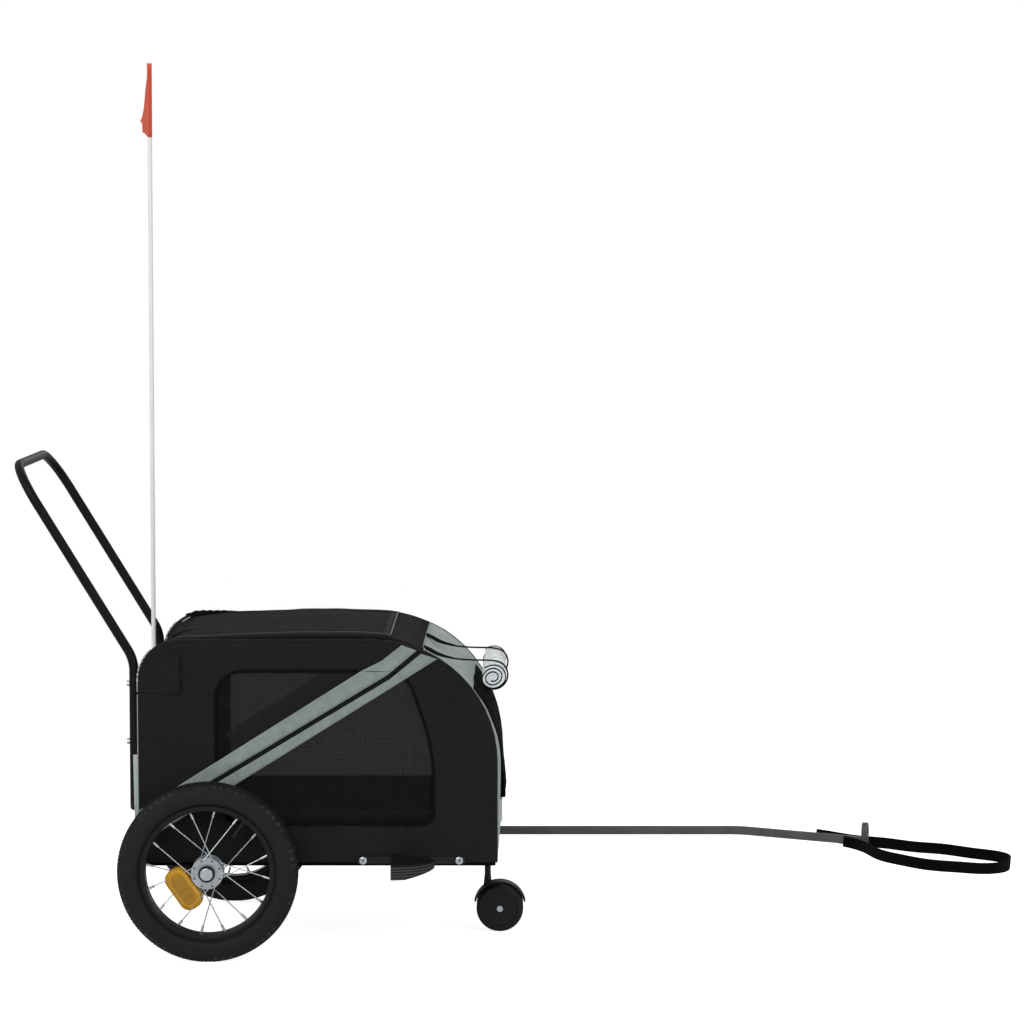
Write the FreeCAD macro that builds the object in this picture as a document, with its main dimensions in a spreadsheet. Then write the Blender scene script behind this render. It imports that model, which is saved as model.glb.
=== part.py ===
"""Dog bike trailer with a fabric cabin, two spoked wheels, a front caster, a push handle and a tow bar.

Millimetres. +X is the way the trailer travels, +Y its left side and +Z up. The origin lies on the ground,
below the middle of the trailer.
"""
import FreeCAD
import Part
import Sketcher
import math
import os

DOC = FreeCAD.newDocument("dog_bike_trailer")

SIZES = {
    # Clearances and the overrun of every cut
    "running_gap": 0.05,
    "slip_gap": 0.1,
    "cloth_gap": 0.3,
    "flap_gap": 0.6,
    "overrun": 5,
    # Wheels, 12 inch
    "tyre_radius": 152.5,
    "tyre_width": 44,
    "tyre_shoulder": 19,
    "tyre_cheek": 8,
    "tyre_cheek_drop": 31.5,
    "wheel_x": -533,
    "track": 554,
    "rim_radius": 114,
    "rim_width": 30,
    "rim_wall": 2.5,
    "rim_depth": 8.5,
    "rim_floor": 3.5,
    "hub_length": 38,
    "hub_flange_radius": 27,
    "hub_flange_thickness": 3,
    "hub_flange_spacing": 33,
    "hub_barrel_radius": 14,
    "hub_bore_radius": 8,
    "hub_boss_radius": 17,
    "bearing_radius": 13,
    "bearing_width": 8,
    "axle_radius": 6,
    "spoke_radius": 1,
    "spoke_circle": 23,
    "spoke_spread": 4,
    "nipple_radius": 2.2,
    "nipple_length": 12,
    "wheel_reflector_length": 76,
    "wheel_reflector_width": 42,
    "wheel_reflector_thickness": 12.6,
    "wheel_reflector_corner": 17,
    "wheel_reflector_radius": 49,
    # Push button axles
    "axle_insertion": 60,
    "collar_radius": 13.9,
    "collar_length": 6.5,
    "collar_floor": 2,
    "button_radius": 11,
    "button_length": 5,
    "button_travel": 3,
    # Chassis
    "rail_size": 20,
    "rail_wall": 1.5,
    "rail_y": 216,
    "rail_z": 164,
    "rail_overhang": 8,
    "rail_front_x": -46,
    "front_cross_x": -61,
    "rear_cross_inset": 6,
    "axle_tube_radius": 11,
    "floor_thickness": 4,
    "floor_half_width": 204,
    "mat_thickness": 12,
    "mat_margin": 14,
    "mat_corner": 25,
    "mat_crown": 4,
    # Side hoops and the two tubes that hold them apart
    "tube_radius": 8,
    "hoop_rear_x": -643,
    "hoop_front_x": -54,
    "hoop_top_z": 531,
    "hoop_rear_bend": 58,
    "hoop_front_bend": 200,
    "socket_wall": 2,
    "socket_height": 18,
    "spreader_rear_x": -523,
    "spreader_front_x": -280,
    "spreader_drop": 6,
    "saddle_radius": 11,
    "saddle_length": 30,
    "saddle_floor": 2,
    # Push handle
    "handle_setback": 19,
    "handle_foot_z": 262,
    "handle_bend_z": 507,
    "handle_bend": 70,
    "handle_top_x": -863,
    "handle_top_z": 836,
    "handle_corner": 75,
    "plug_rim": 2,
    "plug_length": 14,
    "handle_bolt_low_z": 367,
    "handle_bolt_high_z": 466,
    "bolt_radius": 3,
    "bolt_head_radius": 5,
    "bolt_head_height": 4,
    "rail_bolt_rear_x": -272,
    "rail_bolt_front_x": -108,
    "rail_bolt_head_radius": 6.5,
    # Flag
    "pole_setback": 27,
    "pole_y": 183,
    "pole_radius": 4,
    "pole_foot_z": 336,
    "pole_top_z": 1538,
    "flag_hoist": 132,
    "flag_fly": 150,
    "flag_sleeve_radius": 5.5,
    "flag_sheet": 1,
    "flag_tip_drop": 98,
    "flag_lower_drop": 124,
    "flag_socket_radius": 7,
    "flag_socket_floor": 5,
    "flag_socket_height": 100,
    "flag_clamp_radius": 11,
    "flag_clamp_height": 26,
    "flag_web": 8,
    # Tow bar, its clevis and its clamp knob
    "tow_y": 195,
    "tow_z": 144.5,
    "tow_pivot_x": -98,
    "tow_tail": 12,
    "tow_bend_x": 399,
    "tow_bend": 70,
    "tow_end_x": 616,
    "tow_end_y": 76,
    "clevis_plate": 4,
    "clevis_gap": 0.4,
    "clevis_reach": 32,
    "clevis_lip": 14,
    "clevis_width": 28,
    "pivot_radius": 4,
    "pivot_head_radius": 6,
    "pivot_head_height": 5,
    "knob_radius": 17,
    "knob_height": 18,
    "knob_edge": 3,
    "knob_notch_radius": 5,
    # Hitch lug and safety strap
    "lug_width": 28,
    "lug_thickness": 9.5,
    "lug_foot_z": 136.5,
    "lug_hole_z": 164.5,
    "lug_hole_radius": 6.5,
    "lug_turn": -15,
    "strap_width": 20,
    "strap_thickness": 2.5,
    "strap_z": 140,
    "strap_tilt": 5.14,
    # Caster
    "caster_wheel_radius": 41.5,
    "caster_wheel_width": 20,
    "caster_wheel_edge": 7,
    "caster_dish_depth": 1.2,
    "caster_dish_radius": 31,
    "caster_arm": 13,
    "caster_arm_width": 20,
    "caster_axle_x": -39.5,
    "caster_axle_radius": 4,
    "caster_cap_radius": 5.4,
    "caster_cap_height": 3,
    "caster_stem_radius": 5.5,
    "caster_stem_top_z": 171,
    "caster_bush_wall": 3.5,
    "caster_skirt_top_z": 100,
    "caster_skirt_low_z": 80,
    "caster_skirt_radius": 7.5,
    "caster_hood_gap": 2,
    "caster_hood_wall": 3,
    "caster_hood_width": 30,
    "caster_hood_lift": 10,
    # Wheel guards
    "guard_rear_x": -223,
    "guard_radius": 73,
    "guard_wall": 2.5,
    "guard_root_z": 175,
    "guard_edge_z": 166,
    "guard_low_z": 142,
    "guard_front_rise": 11,
    "guard_edge_bend": 8,
    "guard_strip_height": 12,
    "guard_strip_end": 10,
    # Fabric
    "cloth": 2,
    "hem_z": 158,
    "mesh_sheet": 1,
    "window_rear_x": -522,
    "window_front_x": -152,
    "window_low_z": 226,
    "window_top_z": 488,
    "window_rear_corner": 45,
    "window_front_corner": 20,
    "window_front_arc": 300,
    "window_bend_x": -199,
    "roof_seam_x": -168,
    "roof_rear_inset": 39,
    "hatch_front_x": -224,
    "hatch_rear_inset": 51,
    "hatch_half_width": 196,
    "door_half_width": 168,
    "door_low_z": 236,
    "door_top_z": 424,
    # Rolled rain cover and its ties
    "roll_turns": 3,
    "roll_radius": 23.5,
    "roll_lift": 10,
    "roll_sheet": 1.2,
    "roll_pitch": 5.4,
    "roll_length": 290,
    "tie_radius": 1.5,
    "tie_y": 97,
    "tie_start_x": -160,
    "tie_wrap_angle": 186,
    # Reflectors on the front
    "lens_width": 32,
    "lens_height": 38,
    "lens_depth": 9,
    "lens_y": 192,
    "lens_z": 246,
    "lens_corner": 5,
}
SPOKES_PER_SIDE = 8
KNOB_NOTCHES = 6
SPOKE_LEAD_ANGLE = 42
SPOKE_START_ANGLE = -6.6
REFLECTOR_PLACE_ANGLE = 215
FULL_TURN = 360

SHEET = DOC.addObject("Spreadsheet::Sheet", "sizes")
for row, (name, number) in enumerate(SIZES.items(), start=1):
    SHEET.set(f"A{row}", name)
    SHEET.set(f"B{row}", str(number))
    SHEET.setAlias(f"B{row}", name)
DOC.recompute()


class Size:
    """A length of the sheet, or a sum of such lengths, kept as a formula with its value."""

    def __init__(self, text, value):
        self.text = text
        self.value = value

    def __float__(self):
        return float(self.value)

    def __add__(self, other):
        return Size(f"({self.text} + {formula(other)})", self.value + float(other))

    def __sub__(self, other):
        return Size(f"({self.text} - {formula(other)})", self.value - float(other))

    def __mul__(self, share):
        return Size(f"({self.text} * {formula(share)})", self.value * float(share))

    def __truediv__(self, share):
        return Size(f"({self.text} / {formula(share)})", self.value / float(share))

    def __neg__(self):
        return Size(f"(0 - {self.text})", -self.value)


class Sheet:
    """The sheet's cells as attributes."""

    def __getattr__(self, name):
        return Size(f"sizes.{name}", float(SHEET.get(name)))


def formula(number):
    return number.text if isinstance(number, Size) else str(number)


S = Sheet()
ZERO = Size("0", 0.0)
NODES = {}


def vector(x, y, z):
    return FreeCAD.Vector(float(x), float(y), float(z))


def node(item, name):
    """Marks an object as a sub-part of the trailer under its own name."""
    item.Label = name
    NODES[name] = item
    return item


def bind(item, **places):
    """Ties properties of an object to the sheet."""
    for name, size in places.items():
        item.setExpression(name.replace("__", "."), formula(size))
    return item


def move(item, x, y, z):
    return bind(item, Placement__Base__x=x, Placement__Base__y=y, Placement__Base__z=z)


def box(name, low, high):
    """A block between two opposite corners."""
    item = DOC.addObject("Part::Box", name)
    bind(item, Length=high[0] - low[0], Width=high[1] - low[1], Height=high[2] - low[2])
    return move(item, *low)


TURNS = {
    "x": FreeCAD.Rotation(FreeCAD.Vector(0, 1, 0), 90),
    "y": FreeCAD.Rotation(FreeCAD.Vector(1, 0, 0), -90),
    "z": FreeCAD.Rotation(),
}


def cylinder(name, radius, length, start, along="z"):
    """A round bar that runs from a start point along one axis."""
    item = DOC.addObject("Part::Cylinder", name)
    item.Placement.Rotation = TURNS[along]
    bind(item, Radius=radius, Height=length)
    return move(item, *start)


def fuse(name, *items):
    item = DOC.addObject("Part::MultiFuse", name)
    item.Shapes = list(items)
    return item


def common(name, *items):
    item = DOC.addObject("Part::MultiCommon", name)
    item.Shapes = list(items)
    return item


def group(name, items):
    item = DOC.addObject("Part::Compound", name)
    item.Links = list(items)
    return item


def cut(name, base, *tools):
    item = DOC.addObject("Part::Cut", name)
    item.Base = base
    item.Tool = tools[0] if len(tools) == 1 else group(f"{name}_tools", tools)
    return item


def plain(name, shape):
    """A shape worked out from the sheet's values."""
    item = DOC.addObject("Part::Feature", name)
    item.Shape = shape
    return item


def fix(sketch, item, spot, x, y):
    """Holds one point of a sketch at its place in named sizes."""
    for kind, axis, size in (("DistanceX", -2, x), ("DistanceY", -1, y)):
        if abs(float(size)) < 1e-9:
            sketch.addConstraint(Sketcher.Constraint("PointOnObject", item, spot, axis))
            continue
        index = sketch.addConstraint(Sketcher.Constraint(kind, -1, 1, item, spot, float(size)))
        sketch.setExpression(f"Constraints[{index}]", formula(size))


def draw_outline(sketch, corners):
    """Draws a closed outline of straight sides, with a round corner wherever a radius is given."""
    count = len(corners)
    points = [vector(corner[0], corner[1], 0) for corner in corners]
    rounds = [float(corner[2]) if len(corner) > 2 else 0.0 for corner in corners]
    leaving, arriving, arcs = [], [], []
    for index, point in enumerate(points):
        back = (points[index - 1] - point).normalize()
        ahead = (points[(index + 1) % count] - point).normalize()
        half = back.getAngle(ahead) / 2
        reach = rounds[index] / math.tan(half)
        arriving.append(point + back * reach)
        leaving.append(point + ahead * reach)
        arcs.append(None)
        if rounds[index]:
            centre = point + (back + ahead).normalize() * (rounds[index] / math.sin(half))
            left_turn = back.cross(ahead).z < 0
            first, last = (arriving[-1], leaving[-1]) if left_turn else (leaving[-1], arriving[-1])
            angles = [math.atan2(end.y - centre.y, end.x - centre.x) for end in (first, last)]
            circle = Part.Circle(centre, FreeCAD.Vector(0, 0, 1), rounds[index])
            arcs[-1] = (Part.ArcOfCircle(circle, *angles), 1 if left_turn else 2)
    lines = [sketch.addGeometry(Part.LineSegment(leaving[index], arriving[(index + 1) % count]))
             for index in range(count)]
    for index, corner in enumerate(corners):
        before, after = lines[index - 1], lines[index]
        if arcs[index] is None:
            sketch.addConstraint(Sketcher.Constraint("Coincident", before, 2, after, 1))
            fix(sketch, after, 1, corner[0], corner[1])
            continue
        arc, first = arcs[index]
        arc = sketch.addGeometry(arc)
        sketch.addConstraint(Sketcher.Constraint("Tangent", before, 2, arc, first))
        sketch.addConstraint(Sketcher.Constraint("Tangent", after, 1, arc, 3 - first))
        radius = sketch.addConstraint(Sketcher.Constraint("Radius", arc, rounds[index]))
        sketch.setExpression(f"Constraints[{radius}]", formula(corner[2]))
        tip = sketch.addGeometry(Part.Point(points[index]), True)
        sketch.addConstraint(Sketcher.Constraint("PointOnObject", tip, 1, before))
        sketch.addConstraint(Sketcher.Constraint("PointOnObject", tip, 1, after))
        fix(sketch, tip, 1, corner[0], corner[1])


def sketch_on(body, plane, outlines, lift=ZERO):
    """A sketch on one of a body's own planes, moved out along that plane's normal."""
    sketch = body.newObject("Sketcher::SketchObject", f"{body.Name}_outline")
    support = [item for item in body.Origin.OriginFeatures if item.Role == f"{plane}_Plane"][0]
    sketch.AttachmentSupport = [(support, "")]
    sketch.MapMode = "FlatFace"
    sketch.setExpression("AttachmentOffset.Base.z", formula(lift))
    for outline in outlines:
        draw_outline(sketch, outline)
    return sketch


def plate(name, plane, outlines, low, high):
    """A plate of an outline and its holes between two levels of the axis that the plane faces."""
    body = DOC.addObject("PartDesign::Body", name)
    sketch = sketch_on(body, plane, outlines, -high if plane == "XZ" else low)
    pad = body.newObject("PartDesign::Pad", f"{name}_pad")
    pad.Profile = sketch
    bind(pad, Length=high - low)
    return body


def turned(name, plane, axis, outline, angle=FULL_TURN):
    """A turned piece: an outline swung about one axis of its sketch."""
    body = DOC.addObject("PartDesign::Body", name)
    sketch = sketch_on(body, plane, [outline])
    spin = body.newObject("PartDesign::Revolution", f"{name}_turn")
    spin.Profile = sketch
    spin.ReferenceAxis = (sketch, [axis])
    spin.Angle = angle
    return body


def bent_path(points, radii):
    """Straight runs through the points, joined by tangent arcs."""
    edges = []
    start = points[0]
    for before, corner, after, radius in zip(points, points[1:], points[2:], radii):
        back = (before - corner).normalize()
        ahead = (after - corner).normalize()
        half = back.getAngle(ahead) / 2
        entry = corner + back * (radius / math.tan(half))
        leave = corner + ahead * (radius / math.tan(half))
        bisector = (back + ahead).normalize()
        middle = corner + bisector * (radius / math.sin(half) - radius)
        edges.append(Part.LineSegment(start, entry).toShape())
        edges.append(Part.Arc(entry, middle, leave).toShape())
        start = leave
    edges.append(Part.LineSegment(start, points[-1]).toShape())
    return edges


def bent_tube(name, radius, edges):
    """A round tube swept along joined edges."""
    path = plain(f"{name}_path", Part.Wire(edges))
    section = DOC.addObject("Part::Circle", f"{name}_section")
    tangent = edges[0].tangentAt(edges[0].FirstParameter)
    section.Placement = FreeCAD.Placement(edges[0].Vertexes[0].Point,
                                          FreeCAD.Rotation(FreeCAD.Vector(0, 0, 1), tangent))
    bind(section, Radius=radius)
    sweep = DOC.addObject("Part::Sweep", name)
    sweep.Sections = [section]
    sweep.Spine = (path, [f"Edge{index}" for index in range(1, len(edges) + 1)])
    sweep.Solid = True
    return sweep


def band_outline(edges, thickness):
    """The closed outline of a strip that lies half its thickness to either side of flat, smooth edges."""
    half = float(thickness) / 2
    up = FreeCAD.Vector(0, 0, 1)
    sides = []
    for shift in (half, -half):
        side = []
        for edge in edges:
            ends = (edge.FirstParameter, (edge.FirstParameter + edge.LastParameter) / 2, edge.LastParameter)
            spots = [edge.valueAt(end) + up.cross(edge.tangentAt(end)) * shift for end in ends]
            if edge.Curve.TypeId == "Part::GeomCircle":
                side.append(Part.Arc(*spots).toShape())
            else:
                side.append(Part.LineSegment(spots[0], spots[2]).toShape())
        sides.append(side)
    caps = [Part.LineSegment(sides[0][spot].Vertexes[spot].Point, sides[1][spot].Vertexes[spot].Point).toShape()
            for spot in (0, -1)]
    ordered = Part.__sortEdges__(sides[0] + sides[1] + caps)
    return Part.Face(Part.Wire(ordered))


# Lines and levels that several pieces share
RAIL_TOP = S.rail_z + S.rail_size / 2
RAIL_LOW = S.rail_z - S.rail_size / 2
RAIL_OUT = S.rail_y + S.rail_size / 2
RAIL_IN = S.rail_y - S.rail_size / 2
CLOTH_IN = S.tube_radius + S.cloth_gap
CLOTH_OUT = CLOTH_IN + S.cloth
CABIN_REAR = S.hoop_rear_x - CLOTH_OUT
RAIL_REAR = S.hoop_rear_x - S.rail_overhang
REAR_CROSS_X = S.hoop_rear_x + S.rear_cross_inset
HANDLE_X = S.hoop_rear_x - S.handle_setback
POLE_X = S.hoop_rear_x - S.pole_setback
ROOF_REAR = S.hoop_rear_x + S.roof_rear_inset
HATCH_REAR = S.hoop_rear_x + S.hatch_rear_inset
CABIN_FRONT = S.hoop_front_x + CLOTH_OUT
CABIN_TOP = S.hoop_top_z + CLOTH_OUT
PANEL_IN = RAIL_OUT + S.cloth_gap
PANEL_OUT = PANEL_IN + S.cloth
WHEEL_Y = S.track / 2
FLOOR_TOP = RAIL_TOP + S.floor_thickness
SIDES = (("left", 1), ("right", -1))


def make_tyre(side, sign):
    """The pneumatic tyre with its bead between the rim's walls."""
    half = S.tyre_width / 2
    bead = S.rim_width / 2 - S.rim_wall - S.slip_gap
    seat = S.rim_radius - S.rim_depth + S.rim_floor + S.slip_gap
    neck = S.rim_radius + S.slip_gap * 3
    cheek = S.tyre_radius - S.tyre_cheek_drop
    outline = [(-bead, seat), (bead, seat), (bead, neck), (half, cheek, S.tyre_cheek),
               (half, S.tyre_radius, S.tyre_shoulder), (-half, S.tyre_radius, S.tyre_shoulder),
               (-half, cheek, S.tyre_cheek), (-bead, neck)]
    tyre = turned(f"tyre_{side}", "YZ", "H_Axis", outline)
    move(node(tyre, f"tyre_{side}"), S.wheel_x, WHEEL_Y * sign, S.tyre_radius)


def make_rim(side, sign):
    """The rim: a floor that takes the nipples, and two walls that hold the tyre."""
    half = S.rim_width / 2
    inner = half - S.rim_wall
    low = S.rim_radius - S.rim_depth
    floor = low + S.rim_floor
    outline = [(-half, S.rim_radius), (-half, floor), (-inner, low), (inner, low), (half, floor),
               (half, S.rim_radius), (inner, S.rim_radius), (inner, floor), (-inner, floor),
               (-inner, S.rim_radius)]
    rim = turned(f"rim_{side}", "YZ", "H_Axis", outline)
    move(node(rim, f"rim_{side}"), S.wheel_x, WHEEL_Y * sign, S.tyre_radius)


def make_hub(side, sign):
    """The hub shell with two spoke flanges and a bearing seat at each end."""
    end = S.hub_length / 2
    seat = end - S.bearing_width - S.hub_flange_thickness / 3
    face = S.hub_flange_spacing / 2 + S.hub_flange_thickness / 2
    back = S.hub_flange_spacing / 2 - S.hub_flange_thickness / 2
    bore = S.bearing_radius + S.running_gap
    right = [(end, bore), (end, S.hub_boss_radius), (face, S.hub_boss_radius), (face, S.hub_flange_radius),
             (back, S.hub_flange_radius), (back, S.hub_barrel_radius)]
    left = [(-y, radius) for y, radius in reversed(right)]
    outline = [(-seat, bore), (-seat, S.hub_bore_radius), (seat, S.hub_bore_radius), (seat, bore)] + right + left
    hub = turned(f"hub_{side}", "YZ", "H_Axis", outline)
    move(node(hub, f"hub_{side}"), S.wheel_x, WHEEL_Y * sign, S.tyre_radius)
    rings = []
    for place in (1, -1):
        inner = S.axle_radius + S.running_gap
        near = (seat + S.running_gap) * place
        far = near + S.bearing_width * place
        ring = turned(f"bearing_{side}_{'outer' if place == sign else 'inner'}", "YZ", "H_Axis",
                      [(near, inner), (far, inner), (far, S.bearing_radius), (near, S.bearing_radius)])
        rings.append(move(ring, S.wheel_x, WHEEL_Y * sign, S.tyre_radius))
    node(group(f"hub_bearings_{side}", rings), f"hub_bearings_{side}")


def make_spokes(side, sign):
    """Crossed wire spokes with their nipples, laced in turn from the inner and the outer face of each flange."""
    aside = float(S.hub_flange_thickness / 2 + S.spoke_radius + S.slip_gap)
    end = float(S.rim_radius - S.rim_depth - S.cloth_gap * 2)
    step = math.radians(FULL_TURN / SPOKES_PER_SIDE)
    lead = math.radians(SPOKE_LEAD_ANGLE)
    spokes = []
    for place in (1, -1):
        for index in range(SPOKES_PER_SIDE):
            angle = step * (index + (1 - place) / 4) + math.radians(SPOKE_START_ANGLE)
            way = place if index % 2 == 0 else -place
            root = angle + lead * way
            flange = float(S.hub_flange_spacing / 2) + (aside + float(S.spoke_radius) if index % 2 else -aside)
            start = vector(S.spoke_circle * math.cos(root), flange * place, S.spoke_circle * math.sin(root))
            stop = vector(end * math.cos(angle), S.spoke_spread * place, end * math.sin(angle))
            way = (stop - start).normalize()
            wire = Part.makeCylinder(float(S.spoke_radius), (stop - start).Length, start, way)
            nipple = Part.makeCylinder(float(S.nipple_radius), float(S.nipple_length),
                                       stop - way * float(S.nipple_length), way)
            spokes.append(wire.fuse(nipple).removeSplitter())
    item = node(plain(f"spokes_{side}", Part.makeCompound(spokes)), f"spokes_{side}")
    move(item, S.wheel_x, WHEEL_Y * sign, S.tyre_radius)


def make_wheel_reflector(side, sign):
    """The amber reflector wedged between the two planes of spokes."""
    length = S.wheel_reflector_length / 2
    width = S.wheel_reflector_width / 2
    corner = S.wheel_reflector_corner
    reach = S.wheel_reflector_radius
    thick = S.wheel_reflector_thickness / 2
    outline = [(-length, -reach - width, corner), (length, -reach - width, corner),
               (length, -reach + width, corner), (-length, -reach + width, corner)]
    body = plate(f"wheel_reflector_{side}", "XZ", [outline], -thick, thick)
    turn = REFLECTOR_PLACE_ANGLE + 90
    body.Placement.Rotation = FreeCAD.Rotation(FreeCAD.Vector(0, -1, 0), turn)
    move(node(body, f"wheel_reflector_{side}"), S.wheel_x, WHEEL_Y * sign, S.tyre_radius)


def make_axle_pin(side, sign):
    """The quick release axle with its black collar, and the silver button in the collar."""
    start = S.hub_length / 2 + S.cloth_gap
    end = start + S.collar_length
    tail = -(S.hub_length / 2 + S.axle_insertion)
    floor = start + S.collar_floor
    mouth = S.button_radius + S.slip_gap
    outline = [(tail, ZERO), (tail, S.axle_radius), (start, S.axle_radius), (start, S.collar_radius),
               (end, S.collar_radius), (end, mouth), (floor, mouth), (floor, ZERO)]
    pin = turned(f"axle_pin_{side}", "YZ", "H_Axis", [(y * sign, radius) for y, radius in outline])
    move(node(pin, f"axle_pin_{side}"), S.wheel_x, WHEEL_Y * sign, S.tyre_radius)
    low = floor + S.button_travel + S.cloth_gap
    high = low + S.button_length
    outline = [(low, ZERO), (low, S.button_radius), (high, S.button_radius, S.socket_wall), (high, ZERO)]
    button = turned(f"release_button_{side}", "YZ", "H_Axis", [(spot[0] * sign,) + spot[1:] for spot in outline])
    move(node(button, f"release_button_{side}"), S.wheel_x, WHEEL_Y * sign, S.tyre_radius)


def square_tube(name, low, high, along):
    """A square tube between two corners, hollow along one axis."""
    wall = S.rail_wall
    inner_low = [level - S.overrun if axis == along else level + wall for axis, level in zip("xyz", low)]
    inner_high = [level + S.overrun if axis == along else level - wall for axis, level in zip("xyz", high)]
    return box(f"{name}_bar", low, high), box(f"{name}_hollow", inner_low, inner_high)


def make_chassis():
    """Two side rails with cross tubes between them, the axle tube through both, the floor and its mat."""
    notch = S.axle_tube_radius + S.slip_gap
    for side, sign in SIDES:
        centre = S.rail_y * sign
        low = (RAIL_REAR, centre - S.rail_size / 2, RAIL_LOW)
        high = (S.rail_front_x, centre + S.rail_size / 2, RAIL_TOP)
        bar, hollow = square_tube(f"rail_{side}", low, high, "x")
        saddle = cylinder(f"rail_{side}_notch", notch, S.rail_size + S.overrun * 2,
                          (S.wheel_x, low[1] - S.overrun, S.tyre_radius), "y")
        holes = [cylinder(f"rail_{side}_hole", S.bolt_radius + S.slip_gap, S.rail_size + S.overrun * 2,
                          (x, low[1] - S.overrun, S.rail_z), "y")
                 for x in (S.rail_bolt_rear_x, S.rail_bolt_front_x)]
        rail = cut(f"rail_{side}_tube", bar, hollow)
        rail = cut(f"rail_{side}_notched", rail, saddle)
        node(cut(f"rail_{side}", rail, *holes), f"rail_{side}")
    inner = RAIL_IN - S.slip_gap
    for end, x in (("front", S.front_cross_x), ("rear", REAR_CROSS_X)):
        low = (x - S.rail_size / 2, -inner, RAIL_LOW)
        high = (x + S.rail_size / 2, inner, RAIL_TOP)
        bar, hollow = square_tube(f"{end}_cross_tube", low, high, "y")
        tube = cut(f"{end}_cross_hollow_tube", bar, hollow)
        if end == "front":
            hole = cylinder("caster_bush_hole", S.caster_stem_radius + S.caster_bush_wall + S.slip_gap,
                            S.rail_size + S.overrun * 2, (x, ZERO, RAIL_LOW - S.overrun))
            tube = cut("front_cross_drilled", tube, hole)
        node(tube, f"{end}_cross_tube")
    half = WHEEL_Y - S.hub_length / 2 - S.cloth_gap
    outer = cylinder("axle_tube_bar", S.axle_tube_radius, half * 2, (S.wheel_x, -half, S.tyre_radius), "y")
    bore = cylinder("axle_tube_bore", S.axle_radius + S.slip_gap, half * 2 + S.overrun * 2,
                    (S.wheel_x, -half - S.overrun, S.tyre_radius), "y")
    node(cut("axle_tube", outer, bore), "axle_tube")
    board = box("floor_board", (RAIL_REAR, -S.floor_half_width, RAIL_TOP),
                (S.rail_front_x, S.floor_half_width, FLOOR_TOP))
    node(board, "floor_board")
    rear, front = RAIL_REAR + S.mat_margin, S.rail_front_x - S.mat_margin
    width = S.floor_half_width - S.mat_margin
    corner = S.mat_corner
    mat = plate("floor_mat", "XY", [[(rear, -width, corner), (front, -width, corner), (front, width, corner),
                                     (rear, width, corner)]], FLOOR_TOP, FLOOR_TOP + S.mat_thickness)
    DOC.recompute()
    rim = [f"Edge{index}" for index, edge in enumerate(mat.Shape.Edges, start=1)
           if edge.BoundBox.ZMin > float(FLOOR_TOP)]
    pad = mat.Tip
    crown = mat.newObject("PartDesign::Fillet", "floor_mat_crown")
    crown.Base = (pad, rim)
    bind(crown, Radius=S.mat_crown)
    node(mat, "floor_mat")


def bolt_holes(name, sign):
    """The two cross holes that the handle's bolts take through a leg and its hoop."""
    return [cylinder(f"{name}_hole", S.bolt_radius + S.slip_gap, (S.hoop_rear_x - HANDLE_X) * 3,
                     (HANDLE_X * 2 - S.hoop_rear_x, S.rail_y * sign, z), "x")
            for z in (S.handle_bolt_low_z, S.handle_bolt_high_z)]


def make_hoops():
    """The bent side hoops, the collars at their feet, and the two tubes that hold them apart."""
    sockets, saddles, spreaders = [], [], []
    for side, sign in SIDES:
        y = S.rail_y * sign
        points = [vector(S.hoop_rear_x, y, RAIL_TOP), vector(S.hoop_rear_x, y, S.hoop_top_z),
                  vector(S.hoop_front_x, y, S.hoop_top_z), vector(S.hoop_front_x, y, RAIL_TOP)]
        edges = bent_path(points, (float(S.hoop_rear_bend), float(S.hoop_front_bend)))
        tube = bent_tube(f"hoop_{side}_tube", S.tube_radius, edges)
        node(cut(f"hoop_{side}", tube, *bolt_holes(f"hoop_{side}", sign)), f"hoop_{side}")
        for x in (S.hoop_rear_x, S.hoop_front_x):
            bore = S.tube_radius + S.slip_gap
            outer = cylinder("socket_outer", bore + S.socket_wall - S.slip_gap, S.socket_height, (x, y, RAIL_TOP))
            inner = cylinder("socket_bore", bore, S.socket_height + S.overrun * 2, (x, y, RAIL_TOP - S.overrun))
            edge = x - S.tube_radius - S.overrun if x.value < S.spreader_rear_x.value else x + S.tube_radius
            clear = box("socket_flat", (edge, y - S.rail_size, RAIL_TOP - S.overrun),
                        (edge + S.overrun, y + S.rail_size, RAIL_TOP + S.socket_height + S.overrun))
            sockets.append(cut("socket", outer, inner, clear))
        z = S.hoop_top_z - S.spreader_drop
        for x in (S.spreader_rear_x, S.spreader_front_x):
            start = y - S.saddle_length if sign > 0 else y
            block = cylinder("saddle_block", S.saddle_radius, S.saddle_length, (x, start, z), "y")
            groove = cylinder("saddle_groove", S.tube_radius + S.slip_gap, S.saddle_radius * 4,
                              (x - S.saddle_radius * 2, y, S.hoop_top_z), "x")
            depth = S.saddle_length - S.tube_radius - S.saddle_floor + S.overrun
            mouth = y - S.saddle_length - S.overrun if sign > 0 else y + S.tube_radius + S.saddle_floor
            bore = cylinder("saddle_bore", S.tube_radius + S.slip_gap, depth, (x, mouth, z), "y")
            saddles.append(cut("saddle", block, fuse("saddle_tool", groove, bore)))
    half = S.rail_y - S.tube_radius - S.saddle_floor - S.slip_gap
    z = S.hoop_top_z - S.spreader_drop
    for x in (S.spreader_rear_x, S.spreader_front_x):
        spreaders.append(cylinder("spreader", S.tube_radius, half * 2, (x, -half, z), "y"))
    node(group("hoop_sockets", sockets), "hoop_sockets")
    node(group("spreader_saddles", saddles), "spreader_saddles")
    node(group("spreader_tubes", spreaders), "spreader_tubes")


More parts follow.
